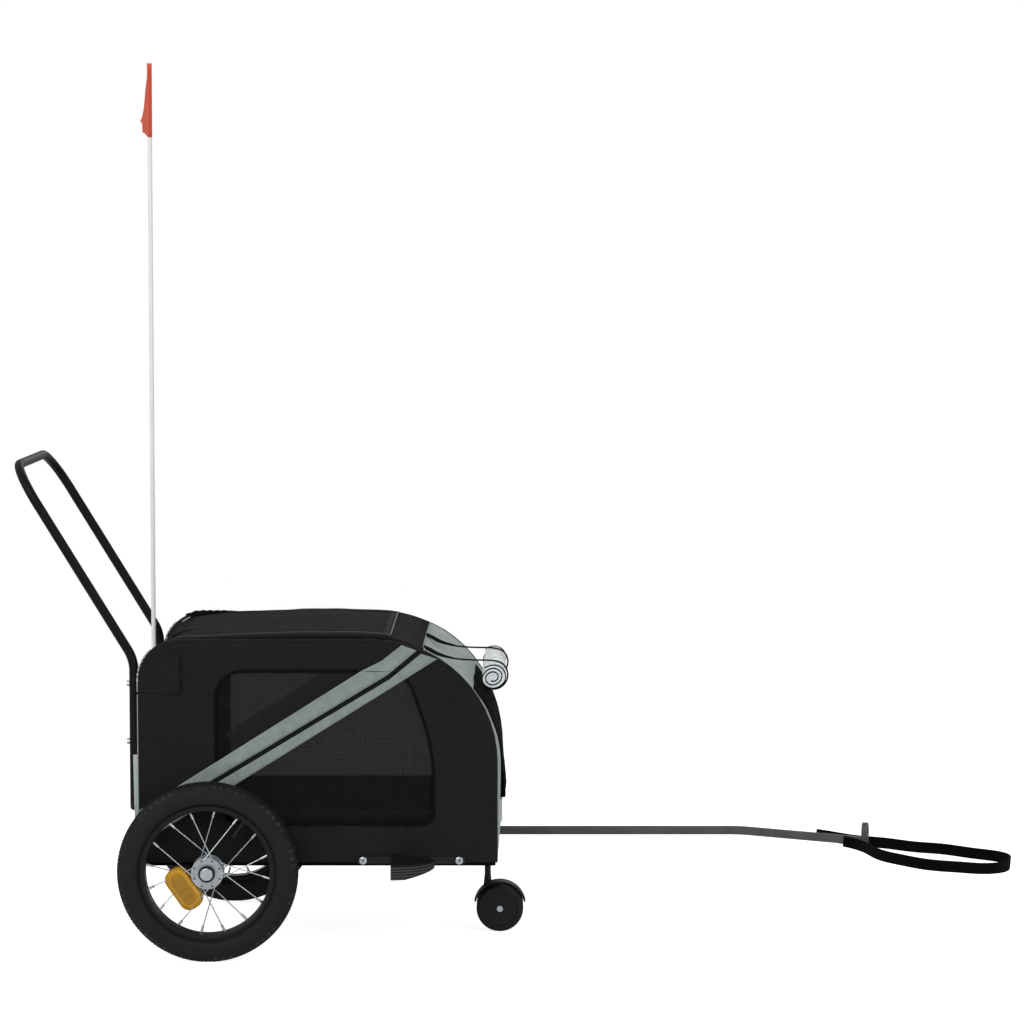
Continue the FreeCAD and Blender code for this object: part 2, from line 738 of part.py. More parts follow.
def make_handle():
    """The push handle, the plugs in its feet, and the bolts of the handle and of the rails."""
    legs = [vector(HANDLE_X, S.rail_y * sign, z) for sign in (-1, 1)
            for z in (S.handle_foot_z, S.handle_bend_z)]
    tops = [vector(S.handle_top_x, S.rail_y * sign, S.handle_top_z) for sign in (-1, 1)]
    points = [legs[0], legs[1], tops[0], tops[1], legs[3], legs[2]]
    bends = (S.handle_bend, S.handle_corner, S.handle_corner, S.handle_bend)
    tube = bent_tube("push_handle_tube", S.tube_radius, bent_path(points, [float(bend) for bend in bends]))
    node(cut("push_handle", tube, *bolt_holes("handle_right", -1), *bolt_holes("handle_left", 1)), "push_handle")
    plugs, bolts = [], []
    for side, sign in SIDES:
        y = S.rail_y * sign
        radius = S.tube_radius + S.plug_rim - S.plug_rim
        plug = turned(f"handle_plug_{side}", "XZ", "V_Axis",
                      [(ZERO, -S.plug_length), (radius, -S.plug_length, radius * 0.8), (radius, ZERO), (ZERO, ZERO)])
        plugs.append(move(plug, HANDLE_X, y, S.handle_foot_z - S.slip_gap))
        for z in (S.handle_bolt_low_z, S.handle_bolt_high_z):
            head_x = HANDLE_X - S.tube_radius - S.slip_gap - S.bolt_head_height
            end_x = S.hoop_rear_x + S.tube_radius + S.slip_gap + S.bolt_head_height
            bolts.append(fuse("handle_bolt",
                              cylinder("head", S.bolt_head_radius, S.bolt_head_height, (head_x, y, z), "x"),
                              cylinder("shank", S.bolt_radius, end_x - head_x, (head_x, y, z), "x"),
                              cylinder("nut", S.bolt_head_radius, S.bolt_head_height,
                                       (end_x - S.bolt_head_height, y, z), "x")))
        for x in (S.rail_bolt_rear_x, S.rail_bolt_front_x):
            face = PANEL_OUT + S.cloth_gap + S.guard_wall + S.slip_gap
            inner = RAIL_IN - S.slip_gap
            head = face if sign > 0 else -face - S.bolt_head_height
            nut = inner - S.bolt_head_height if sign > 0 else -inner
            shank = inner if sign > 0 else -face
            bolts.append(fuse("rail_bolt",
                              cylinder("head", S.rail_bolt_head_radius, S.bolt_head_height, (x, head, S.rail_z), "y"),
                              cylinder("shank", S.bolt_radius, face - inner, (x, shank, S.rail_z), "y"),
                              cylinder("nut", S.bolt_head_radius, S.bolt_head_height, (x, nut, S.rail_z), "y")))
    node(group("handle_plugs", plugs), "handle_plugs")
    node(group("frame_bolts", bolts), "frame_bolts")


def make_flag():
    """The white pole in a socket clamped to the left leg of the handle, and its pennant."""
    x, y = POLE_X, S.pole_y
    low = S.pole_foot_z - S.flag_socket_floor - S.slip_gap
    middle = low + S.flag_socket_height - S.flag_clamp_height / 2
    socket = cylinder("flag_socket_tube", S.flag_socket_radius, S.flag_socket_height, (x, y, low))
    clamp = cylinder("flag_clamp", S.flag_clamp_radius, S.flag_clamp_height,
                     (HANDLE_X, S.rail_y, middle - S.flag_clamp_height / 2))
    web = box("flag_clamp_web", (x - S.flag_web / 2, y, middle - S.flag_clamp_height / 2),
              (x + S.flag_web / 2, S.rail_y, middle + S.flag_clamp_height / 2))
    leg = cylinder("flag_clamp_bore", S.tube_radius + S.slip_gap, S.flag_clamp_height + S.overrun * 2,
                   (HANDLE_X, S.rail_y, middle - S.flag_clamp_height / 2 - S.overrun))
    bore = cylinder("flag_socket_bore", S.pole_radius + S.running_gap, S.flag_socket_height,
                    (x, y, S.pole_foot_z - S.slip_gap))
    sheet = box("flag_cloth_room", (CABIN_REAR - S.cloth_gap, y - S.rail_y, low - S.flag_socket_height),
                (ZERO, S.rail_y * 2, low + S.flag_socket_height * 2))
    node(cut("flag_socket", fuse("flag_socket_body", socket, clamp, web), leg, bore, sheet), "flag_socket")
    pole = cylinder("flag_pole", S.pole_radius, S.pole_top_z - S.pole_foot_z, (x, y, S.pole_foot_z))
    node(pole, "flag_pole")
    top = S.pole_top_z
    half = S.flag_sheet / 2
    sleeve = cylinder("flag_sleeve", S.flag_sleeve_radius, S.flag_hoist, (x, y, top - S.flag_hoist))
    fly = plate("flag_fly", "YZ", [[(y, top), (y - S.flag_fly, top - S.flag_tip_drop),
                                    (y - S.flag_fly, top - S.flag_lower_drop), (y, top - S.flag_hoist)]],
                x - half, x + half)
    hole = cylinder("flag_sleeve_bore", S.pole_radius + S.slip_gap, S.flag_hoist + S.overrun * 2,
                    (x, y, top - S.flag_hoist - S.overrun))
    node(cut("flag_pennant", fuse("flag_body", sleeve, fly), hole), "flag_pennant")


def make_tow_bar():
    """The tow bar on its clevis, the pivot bolt with its clamp knob, the hitch lug and the safety strap."""
    x, y, z = S.tow_pivot_x, S.tow_y, S.tow_z
    upper = z + S.tube_radius + S.clevis_gap
    lower = z - S.tube_radius - S.clevis_gap
    back = x - S.clevis_reach
    lip = x + S.clevis_lip
    weld = S.front_cross_x - S.rail_size / 2 - S.slip_gap
    plate_size = S.clevis_plate
    outline = [(back, lower - plate_size), (lip, lower - plate_size), (lip, lower), (back + plate_size, lower),
               (back + plate_size, upper), (weld, upper), (weld, upper + plate_size), (back, upper + plate_size)]
    side = RAIL_IN - S.slip_gap
    stock = plate("tow_clevis_stock", "XZ", [outline], side - S.clevis_width, side)
    hole = cylinder("tow_clevis_hole", S.pivot_radius + S.slip_gap, S.tube_radius * 6,
                    (x, y, z - S.tube_radius * 3))
    node(cut("tow_clevis", stock, hole), "tow_clevis")
    knob_top = lower - plate_size - S.clevis_gap
    bolt_low = knob_top - S.knob_height
    head = cylinder("tow_bolt_head", S.pivot_head_radius, S.pivot_head_height,
                    (x, y, upper + plate_size + S.slip_gap))
    shank = cylinder("tow_bolt_shank", S.pivot_radius, upper + plate_size + S.slip_gap - bolt_low, (x, y, bolt_low))
    node(fuse("tow_pivot_bolt", head, shank), "tow_pivot_bolt")
    bore = S.pivot_radius + S.running_gap
    edge = S.knob_edge
    knob = turned("tow_knob_stock", "XZ", "V_Axis",
                  [(bore, -S.knob_height), (S.knob_radius, -S.knob_height, edge), (S.knob_radius, ZERO, edge),
                   (bore, ZERO)])
    move(knob, x, y, knob_top)
    notches = []
    for index in range(KNOB_NOTCHES):
        angle = math.radians(FULL_TURN * index / KNOB_NOTCHES)
        notches.append(cylinder("tow_knob_notch", S.knob_notch_radius, S.knob_height + S.overrun * 2,
                                (x + S.knob_radius * math.cos(angle), y + S.knob_radius * math.sin(angle),
                                 bolt_low - S.overrun)))
    node(cut("tow_clamp_knob", knob, *notches), "tow_clamp_knob")
    end = vector(S.tow_end_x, S.tow_end_y, z)
    bend = vector(S.tow_bend_x, y, z)
    reach = end + (end - bend).normalize() * float(S.lug_width)
    path = bent_path([vector(x - S.tow_tail, y, z), bend, reach], [float(S.tow_bend)])
    tube = bent_tube("tow_bar_tube", S.tube_radius, path)
    pivot_hole = cylinder("tow_bar_hole", S.pivot_radius + S.running_gap, S.tube_radius * 4,
                          (x, y, z - S.tube_radius * 2))
    turn = FreeCAD.Rotation(FreeCAD.Vector(0, 0, 1), float(S.lug_turn))
    ahead = box("tow_bar_end", (-S.lug_thickness / 2 - S.slip_gap, -S.lug_width * 2, -S.lug_width * 2),
                (S.lug_width * 3, S.lug_width * 2, S.lug_width * 2))
    shift = turn.multVec(vector(-S.lug_thickness / 2 - S.slip_gap, -S.lug_width * 2, -S.lug_width * 2))
    for name in ("x", "y", "z"):
        ahead.setExpression(f"Placement.Base.{name}", None)
    ahead.Placement = FreeCAD.Placement(end + shift, turn)
    node(cut("tow_bar", tube, pivot_hole, ahead), "tow_bar")
    half = S.lug_width / 2
    top = S.lug_hole_z + half
    lug = plate("hitch_lug_stock", "YZ", [[(-half, S.lug_foot_z, S.clevis_plate), (half, S.lug_foot_z, S.clevis_plate),
                                           (half, top, half * 0.98), (-half, top, half * 0.98)]],
                -S.lug_thickness / 2, S.lug_thickness / 2)
    lug_hole = cylinder("hitch_lug_hole", S.lug_hole_radius, S.lug_thickness * 2, (-S.lug_thickness, ZERO, S.lug_hole_z), "x")
    hitch = node(cut("hitch_lug", lug, lug_hole), "hitch_lug")
    hitch.Placement.Rotation = turn
    move(hitch, S.tow_end_x, S.tow_end_y, ZERO)


STRAP_ROUTE = ((578, 86), (602, 72.9), (637, -62), (757, -112), (868.5, -40), (868.5, 88), (582, 105.5), (533, 132.4))
STRAP_BENDS = (25, 80, 120, 62, 45, 90)


def make_strap():
    """The webbing safety strap: a loop on edge whose two ends lie against the end of the tow bar."""
    pivot = vector(S.tow_end_x, ZERO, S.strap_z)
    points = [vector(x, y, 0) - vector(S.tow_end_x, ZERO, ZERO) for x, y in STRAP_ROUTE]
    face = band_outline(bent_path(points, STRAP_BENDS), S.strap_thickness)
    strap = face.extrude(vector(ZERO, ZERO, S.strap_width))
    strap.translate(vector(ZERO, ZERO, -S.strap_width / 2))
    item = node(plain("safety_strap", strap), "safety_strap")
    item.Placement = FreeCAD.Placement(pivot, FreeCAD.Rotation(FreeCAD.Vector(0, 1, 0), float(S.strap_tilt)))


def make_caster():
    """The twin wheel caster: a bush in the front cross tube, a stem with its arm and hood, an axle and two wheels."""
    x = S.front_cross_x
    bush_radius = S.caster_stem_radius + S.caster_bush_wall
    bush = cylinder("caster_bush_bar", bush_radius, S.rail_size, (x, ZERO, RAIL_LOW))
    bore = cylinder("caster_bush_bore", S.caster_stem_radius + S.running_gap,
                    S.caster_stem_top_z + S.cloth_gap - RAIL_LOW + S.overrun, (x, ZERO, RAIL_LOW - S.overrun))
    node(cut("caster_bush", bush, bore), "caster_bush")
    stem = turned("caster_stem", "XZ", "V_Axis",
                  [(ZERO, S.caster_skirt_low_z), (S.caster_skirt_radius, S.caster_skirt_low_z),
                   (S.caster_stem_radius, S.caster_skirt_top_z), (S.caster_stem_radius, S.caster_stem_top_z),
                   (ZERO, S.caster_stem_top_z)])
    move(stem, x, ZERO, ZERO)
    half = S.caster_arm / 2
    wide = S.caster_arm_width / 2
    axle_x, axle_z = S.caster_axle_x, S.caster_wheel_radius
    arm = plate("caster_arm_plate", "XZ",
                [[(axle_x - wide, axle_z - wide, wide * 0.8), (axle_x + wide, axle_z - wide, wide * 0.9),
                  (axle_x + wide, S.caster_skirt_low_z, wide), (x + S.caster_skirt_radius, S.caster_skirt_low_z + half),
                  (x - S.caster_skirt_radius, S.caster_skirt_low_z + half, half),
                  (x - S.caster_skirt_radius, axle_z, wide)]], -half, half)
    side_y = S.caster_hood_width / 2
    under = S.caster_wheel_radius + S.caster_hood_gap
    over = under + S.caster_hood_wall
    hood = cut("caster_hood",
               cylinder("caster_hood_outer", over, S.caster_hood_width, (axle_x, -side_y, axle_z), "y"),
               cylinder("caster_hood_inner", under, S.caster_hood_width + S.overrun * 2,
                        (axle_x, -side_y - S.overrun, axle_z), "y"),
               box("caster_hood_mouth", (axle_x - over - S.overrun, -side_y - S.overrun, axle_z - over - S.overrun),
                   (axle_x + over + S.overrun, side_y + S.overrun, axle_z + S.caster_hood_lift)))
    hole = cylinder("caster_arm_hole", S.caster_axle_radius + S.slip_gap, S.caster_arm * 2,
                    (axle_x, -S.caster_arm, axle_z), "y")
    node(cut("caster_fork", fuse("caster_fork_body", stem, arm, hood), hole), "caster_fork")
    near = half + S.cloth_gap
    far = near + S.caster_wheel_width
    bore = S.caster_axle_radius + S.running_gap
    edge = S.caster_wheel_edge
    dish = far - S.caster_dish_depth
    for side, sign in SIDES:
        outline = [(near, bore), (near, S.caster_wheel_radius, edge / 2), (far, S.caster_wheel_radius, edge),
                   (far, S.caster_dish_radius), (dish, S.caster_dish_radius - S.caster_dish_depth), (dish, bore)]
        wheel = turned(f"caster_wheel_{side}", "YZ", "H_Axis", [(spot[0] * sign,) + spot[1:] for spot in outline])
        move(node(wheel, f"caster_wheel_{side}"), axle_x, ZERO, axle_z)
    end = dish + S.cloth_gap
    cap = end + S.caster_cap_height
    axle = turned("caster_axle", "YZ", "H_Axis",
                  [(-cap, ZERO), (cap, ZERO), (cap, S.caster_cap_radius), (end, S.caster_cap_radius),
                   (end, S.caster_axle_radius), (-end, S.caster_axle_radius), (-end, S.caster_cap_radius),
                   (-cap, S.caster_cap_radius)])
    move(node(axle, "caster_axle"), axle_x, ZERO, axle_z)


def make_guard(side, sign):
    """The quarter round wheel guard: a sloping top with a rim, on a strip bolted along the rail."""
    wall = S.guard_wall
    radius = S.guard_radius
    bend = S.guard_edge_bend
    outline = [(wall, S.guard_root_z), (wall, S.guard_root_z - wall), (radius - wall, S.guard_edge_z - wall, bend - wall),
               (radius - wall, S.guard_low_z), (radius, S.guard_low_z), (radius, S.guard_edge_z, bend)]
    shell = turned(f"guard_{side}_shell", "XZ", "V_Axis", outline, 90)
    shell.Placement.Rotation = FreeCAD.Rotation(FreeCAD.Vector(0, 0, 1), 0 if sign > 0 else -90)
    face = PANEL_OUT + S.cloth_gap
    move(shell, S.guard_rear_x, face * sign, ZERO)
    far_x = S.guard_rear_x + radius + S.overrun
    wedge = plate(f"guard_{side}_slope", "XZ",
                  [[(S.guard_rear_x, S.guard_low_z - S.overrun), (far_x, S.guard_low_z - S.overrun),
                    (far_x, S.guard_low_z + S.guard_front_rise)]], -face - radius * 2, face + radius * 2)
    shell = cut(f"guard_{side}_rim", shell, wedge)
    half = S.guard_strip_height / 2
    rear = S.rail_bolt_rear_x - S.guard_strip_end
    front = S.rail_bolt_front_x + S.guard_strip_end
    low_y, high_y = (face, face + wall) if sign > 0 else (-face - wall, -face)
    strip = box(f"guard_{side}_strip", (rear, low_y, S.rail_z - half), (front, high_y, S.rail_z + half))
    holes = [cylinder(f"guard_{side}_hole", S.bolt_radius + S.slip_gap, wall + S.overrun * 2,
                      (x, low_y - S.overrun, S.rail_z), "y") for x in (S.rail_bolt_rear_x, S.rail_bolt_front_x)]
    node(cut(f"wheel_guard_{side}", fuse(f"guard_{side}_body", shell, strip), *holes), f"wheel_guard_{side}")


def window_outline(shrink):
    """The window's outline, drawn in on every side by a margin."""
    rear, front = S.window_rear_x + shrink, S.window_front_x - shrink
    low, top = S.window_low_z + shrink, S.window_top_z - shrink
    return [(rear, low, S.window_rear_corner - shrink), (front, low, S.window_front_corner - shrink),
            (front, (S.window_low_z + S.window_top_z) / 2 - shrink, S.window_front_arc - shrink),
            (S.window_bend_x - shrink, top, S.window_rear_corner - shrink),
            (rear, top, S.window_rear_corner - shrink)]


def make_side(side, sign):
    """A fabric side panel over its hoop, and the mesh of its window."""
    near, far = (PANEL_IN, PANEL_OUT) if sign > 0 else (-PANEL_OUT, -PANEL_IN)
    outline = [(CABIN_REAR, S.hem_z), (CABIN_FRONT, S.hem_z), (CABIN_FRONT, CABIN_TOP, S.hoop_front_bend + CLOTH_OUT),
               (CABIN_REAR, CABIN_TOP, S.hoop_rear_bend + CLOTH_OUT)]
    panel = plate(f"side_panel_{side}_cloth", "XZ", [outline, window_outline(ZERO)], near, far)
    holes = [cylinder(f"panel_{side}_hole", S.bolt_radius + S.slip_gap, S.cloth + S.overrun * 2,
                      (x, near - S.overrun, S.rail_z), "y") for x in (S.rail_bolt_rear_x, S.rail_bolt_front_x)]
    notch = cylinder(f"panel_{side}_notch", S.axle_tube_radius + S.cloth_gap, S.cloth + S.overrun * 2,
                     (S.wheel_x, near - S.overrun, S.tyre_radius), "y")
    node(cut(f"side_panel_{side}", panel, *holes, notch), f"side_panel_{side}")
    middle = (near + far) / 2
    mesh = plate(f"window_mesh_{side}", "XZ", [window_outline(S.cloth_gap)],
                 middle - S.mesh_sheet / 2, middle + S.mesh_sheet / 2)
    node(mesh, f"window_mesh_{side}")


def make_cabin_cloth():
    """The strip of cloth that goes up the back, over the roof and down the front, cut into its panels."""
    width = PANEL_IN - S.cloth_gap
    inner = S.cloth
    outline = [(CABIN_REAR, S.hem_z), (CABIN_REAR + inner, S.hem_z),
               (CABIN_REAR + inner, CABIN_TOP - inner, S.hoop_rear_bend + CLOTH_IN),
               (CABIN_FRONT - inner, CABIN_TOP - inner, S.hoop_front_bend + CLOTH_IN),
               (CABIN_FRONT - inner, S.hem_z), (CABIN_FRONT, S.hem_z),
               (CABIN_FRONT, CABIN_TOP, S.hoop_front_bend + CLOTH_OUT),
               (CABIN_REAR, CABIN_TOP, S.hoop_rear_bend + CLOTH_OUT)]
    strip = plate("cabin_strip", "XZ", [outline], -width, width)
    high = CABIN_TOP + S.overrun
    low = S.hem_z - S.overrun
    gap = S.flap_gap

    def block(name, rear, front, half, bottom=low, top=high):
        return box(name, (rear, -half, bottom), (front, half, top))

    wide = width + S.overrun
    rear_stock = common("rear_panel_stock", strip, block("rear_block", CABIN_REAR - S.overrun, ROOF_REAR, wide))
    holes = bolt_holes("rear_panel_right", -1) + bolt_holes("rear_panel_left", 1)
    node(cut("rear_panel", rear_stock, *holes), "rear_panel")
    roof = common("roof_stock", strip, block("roof_block", ROOF_REAR + S.slip_gap, S.roof_seam_x, wide))
    hatchway = block("hatchway", HATCH_REAR, S.hatch_front_x, S.hatch_half_width)
    node(cut("roof_panel", roof, hatchway), "roof_panel")
    hatch = block("hatch_block", HATCH_REAR + gap, S.hatch_front_x - gap, S.hatch_half_width - gap)
    node(common("roof_hatch", strip, hatch), "roof_hatch")
    gusset = common("front_stock", strip, block("front_block", S.roof_seam_x + S.slip_gap, CABIN_FRONT + S.overrun, wide))
    doorway = block("doorway", S.roof_seam_x, CABIN_FRONT + S.overrun, S.door_half_width, S.door_low_z, S.door_top_z)
    node(cut("front_panel", gusset, doorway), "front_panel")
    door = block("door_block", S.roof_seam_x, CABIN_FRONT + S.overrun, S.door_half_width - gap,
                 S.door_low_z + gap, S.door_top_z - gap)
    node(common("front_door", strip, door), "front_door")


def roll_centre():
    """The rolled cover hangs in its ties just off the front panel's curve, above the door's hinge."""
    centre_x = float(S.hoop_front_x - S.hoop_front_bend)
    centre_z = float(S.hoop_top_z - S.hoop_front_bend)
    reach = float(S.hoop_front_bend + CLOTH_OUT + S.roll_radius + S.roll_lift + S.cloth_gap)
    slope = math.radians(ROLL_PLACE_ANGLE)
    return centre_x + reach * math.cos(slope), centre_z + reach * math.sin(slope)


ROLL_PLACE_ANGLE = 33.7


def make_rain_cover():
    """The clear cover, rolled up in a spiral of half turns, and the two cords that tie the roll."""
    x, z = roll_centre()
    step = float(S.roll_pitch) / 2
    radius = float(S.roll_radius - S.roll_sheet / 2)
    spiral = []
    end = FreeCAD.Vector(radius, 0, 0)
    way = 1
    for index in range(int(float(S.roll_turns)) * 2):
        centre = end - FreeCAD.Vector(radius * way, 0, 0)
        middle = centre + FreeCAD.Vector(0, radius * way, 0)
        stop = centre - FreeCAD.Vector(radius * way, 0, 0)
        spiral.append(Part.Arc(end, middle, stop).toShape())
        end, way, radius = stop, -way, radius - step / 2
    sheet = band_outline(spiral, S.roll_sheet).extrude(vector(ZERO, ZERO, S.roll_length))
    roll = node(plain("rain_cover_roll", sheet), "rain_cover_roll")
    roll.Placement = FreeCAD.Placement(FreeCAD.Vector(x, float(S.roll_length / 2), z),
                                       FreeCAD.Rotation(FreeCAD.Vector(1, 0, 0), 90))
    around = float(S.roll_radius + S.tie_radius + S.cloth_gap)
    reach = float(S.hoop_front_bend + CLOTH_OUT + S.cloth_gap + S.tie_radius)
    run = float(S.tie_start_x - S.hoop_front_x + S.hoop_front_bend)
    start = FreeCAD.Vector(float(S.tie_start_x), 0,
                           float(S.hoop_top_z - S.hoop_front_bend) + math.sqrt(reach * reach - run * run))
    centre = FreeCAD.Vector(x, 0, z)
    away = centre - start
    heading = math.atan2(away.z, away.x)
    touch = heading + math.pi - math.acos(around / away.Length)
    wrap = math.radians(float(S.tie_wrap_angle))

    def on_roll(angle):
        return centre + FreeCAD.Vector(around * math.cos(angle), 0, around * math.sin(angle))

    ties = []
    for sign in (1, -1):
        shift = vector(ZERO, S.tie_y * sign, ZERO)
        stops = [on_roll(touch - wrap * share) + shift for share in (0, 0.25, 0.5, 0.75, 1)]
        edges = [Part.LineSegment(start + shift, stops[0]).toShape(), Part.Arc(*stops[0:3]).toShape(),
                 Part.Arc(*stops[2:5]).toShape()]
        ties.append(bent_tube("cover_tie", S.tie_radius, edges))
    node(group("cover_ties", ties), "cover_ties")


def make_front_reflectors():
    """Two clear reflectors low on the front panel."""
    wide, tall, corner = S.lens_width / 2, S.lens_height / 2, S.lens_corner
    lenses = []
    for side, sign in SIDES:
        y = S.lens_y * sign
        outline = [(y - wide, S.lens_z - tall, corner), (y + wide, S.lens_z - tall, corner),
                   (y + wide, S.lens_z + tall, corner), (y - wide, S.lens_z + tall, corner)]
        back = CABIN_FRONT + S.cloth_gap
        lenses.append(plate(f"front_reflector_{side}", "YZ", [outline], back, back + S.lens_depth))
    node(group("front_reflectors", lenses), "front_reflectors")


def write_parts():
    """Checks every object and writes each sub-part to its file."""
    DOC.recompute()
    failed = [item.Label for item in DOC.Objects if {"Invalid", "Error"} & set(item.State)]
    empty = [name for name, item in NODES.items() if item.Shape.isNull() or not item.Shape.isValid()]
    if failed or empty:
        raise RuntimeError(f"failed objects {failed}, empty or broken sub-parts {empty}")
    os.makedirs("parts", exist_ok=True)
    for name, item in NODES.items():
        item.Shape.exportStep(f"parts/{name}.step")
    print(len(NODES), "sub-parts written")


for side, sign in SIDES:
    make_tyre(side, sign)
    make_rim(side, sign)
    make_hub(side, sign)
    make_spokes(side, sign)
    make_wheel_reflector(side, sign)
    make_axle_pin(side, sign)
    make_guard(side, sign)
    make_side(side, sign)
make_chassis()
make_hoops()
make_handle()
make_flag()
make_tow_bar()
make_strap()
make_caster()
make_cabin_cloth()
make_rain_cover()
make_front_reflectors()
write_parts()
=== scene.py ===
"""Looks of a dog bike trailer: its cloth, rain cover, flag, webbing, tread, small hardware and stage."""

import math

import bmesh
import bpy
from bpy.props import FloatProperty, FloatVectorProperty, IntProperty, PointerProperty
from mathutils import Matrix, Vector, noise


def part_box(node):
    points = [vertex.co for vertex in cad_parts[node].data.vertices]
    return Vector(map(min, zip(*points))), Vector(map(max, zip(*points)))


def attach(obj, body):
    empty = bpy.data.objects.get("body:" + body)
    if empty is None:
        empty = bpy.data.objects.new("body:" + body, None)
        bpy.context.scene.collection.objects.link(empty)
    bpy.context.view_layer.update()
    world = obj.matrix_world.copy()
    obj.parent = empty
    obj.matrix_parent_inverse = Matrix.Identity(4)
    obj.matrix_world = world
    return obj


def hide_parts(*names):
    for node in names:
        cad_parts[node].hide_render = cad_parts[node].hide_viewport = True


bl_info = {
    "name": "Dog Bike Trailer",
    "version": (1, 0, 0),
    "blender": (4, 5, 0),
    "location": "View3D > Sidebar > Trailer",
    "description": "Dresses the trailer's solid model with cloth, rubber, metal and a studio stage",
    "category": "Object",
}

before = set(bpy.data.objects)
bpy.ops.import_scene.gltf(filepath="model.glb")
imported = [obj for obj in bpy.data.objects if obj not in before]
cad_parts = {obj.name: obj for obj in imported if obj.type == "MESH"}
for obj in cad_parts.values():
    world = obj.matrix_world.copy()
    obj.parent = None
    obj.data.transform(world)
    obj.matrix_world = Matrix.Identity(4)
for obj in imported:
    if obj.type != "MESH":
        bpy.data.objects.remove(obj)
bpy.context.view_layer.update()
SIDES = (("left", 1), ("right", -1))


def tone(red, green, blue):
    """A colour as seen on a screen, in the linear values that a material takes."""
    def linear(level):
        share = level / 255
        return share / 12.92 if share <= 0.04045 else ((share + 0.055) / 1.055) ** 2.4
    return linear(red), linear(green), linear(blue)


def length(name, default, description):
    return FloatProperty(name=name, description=description, default=default, unit="LENGTH", precision=4)


def colour(name, red, green, blue, description):
    return FloatVectorProperty(name=name, description=description, subtype="COLOR", size=3, min=0, max=1,
                               default=tone(red, green, blue))


class TrailerSizes(bpy.types.PropertyGroup):
    """Sizes of the dressed pieces"""
    cloth: length("Cloth", 0.0018, "Thickness of the cabin cloth")
    cell: length("Cloth cell", 0.008, "Cell of the cloth's grid")
    roof_crown: length("Roof crown", 0.013, "How far the slack roof stands up")
    front_bulge: length("Front bulge", 0.008, "How far the front cloth swells forward")
    front_dip: length("Front dip", 0.019, "How far the front sinks between the hoops below the roof's seam")
    rear_dip: length("Rear dip", 0.014, "How far the roof's cloth sinks between the hoops over the rear bend")
    door_flare: length("Door flare", 0.007, "How far the door's lower edge stands off the panel")
    rear_bulge: length("Rear bulge", 0.009, "How far the rear cloth swells back")
    piping: length("Piping", 0.0017, "Radius of the corded seams")
    window_piping: length("Window piping", 0.0026, "Radius of the cord round the windows")
    stitch: length("Stitch", 0.0032, "Length of one stitch")
    stitch_gap: length("Stitch gap", 0.0016, "Gap between two stitches")
    tread_height: length("Tread height", 0.0028, "Height of the tyre's blocks")
    tread_count: IntProperty(name="Tread count", description="Blocks in one row round the tyre", default=144,
                             min=8)
    tie_width: length("Tie", 0.003, "Diameter of the elastic ties")
    strap_width: length("Strap width", 0.02, "Width of the safety strap")
    strap_thickness: length("Strap thickness", 0.0025, "Thickness of the safety strap")


class TrailerColours(bpy.types.PropertyGroup):
    """Colours of the finishes"""
    cloth_black: colour("Black cloth", 30, 30, 31, "Side panels and roof")
    cloth_grey: colour("Grey cloth", 178, 188, 182, "Front and rear panels")
    stripe_grey: colour("Stripes", 140, 151, 145, "Slanting stripes on the sides")
    mesh_black: colour("Mesh", 24, 24, 25, "Windows and door")
    frame_black: colour("Frame", 15, 15, 16, "Painted tubes")
    bar_grey: colour("Tow bar", 78, 79, 80, "Painted tow bar")
    rubber: colour("Rubber", 24, 24, 25, "Tyres and caster wheels")
    plastic: colour("Plastic", 22, 22, 23, "Moulded pieces")
    zinc: colour("Zinc", 190, 196, 200, "Plated hubs, bolts and spokes")
    amber: colour("Amber", 236, 174, 14, "Wheel reflectors")
    flag: colour("Flag", 243, 112, 88, "Pennant")
    pole: colour("Pole", 236, 236, 236, "Flag pole")


def sizes():
    return bpy.context.scene.trailer_sizes


def rgb(name):
    return (*getattr(bpy.context.scene.trailer_colours, name), 1.0)


# Finishes


class Value:
    """A shader's socket that takes part in formulas."""

    def __init__(self, finish, socket):
        self.finish = finish
        self.socket = socket

    def math(self, operation, *others):
        return self.finish.node("ShaderNodeMath", {"operation": operation}, self, *others)

    def __add__(self, other):
        return self.math("ADD", other)

    __radd__ = __add__

    def __mul__(self, other):
        return self.math("MULTIPLY", other)

    __rmul__ = __mul__

    def __sub__(self, other):
        return self.math("SUBTRACT", other)

    def __rsub__(self, other):
        return self.finish.node("ShaderNodeMath", {"operation": "SUBTRACT"}, other, self)

    def __abs__(self):
        return self.math("ABSOLUTE")

    def __mod__(self, other):
        return self.math("FLOORED_MODULO", other)

    def __gt__(self, other):
        return self.math("GREATER_THAN", other)

    def __lt__(self, other):
        return self.math("LESS_THAN", other)

    def sine(self):
        return self.math("SINE")

    def root(self):
        return self.math("SQRT")

    def most(self, other):
        return self.math("MAXIMUM", other)

    def ramp(self, low, high, start=0.0, end=1.0):
        """Runs smoothly from start to end as the value goes from low to high."""
        return self.finish.node("ShaderNodeMapRange", {"interpolation_type": "SMOOTHSTEP", "clamp": True},
                                self, low, high, start, end)


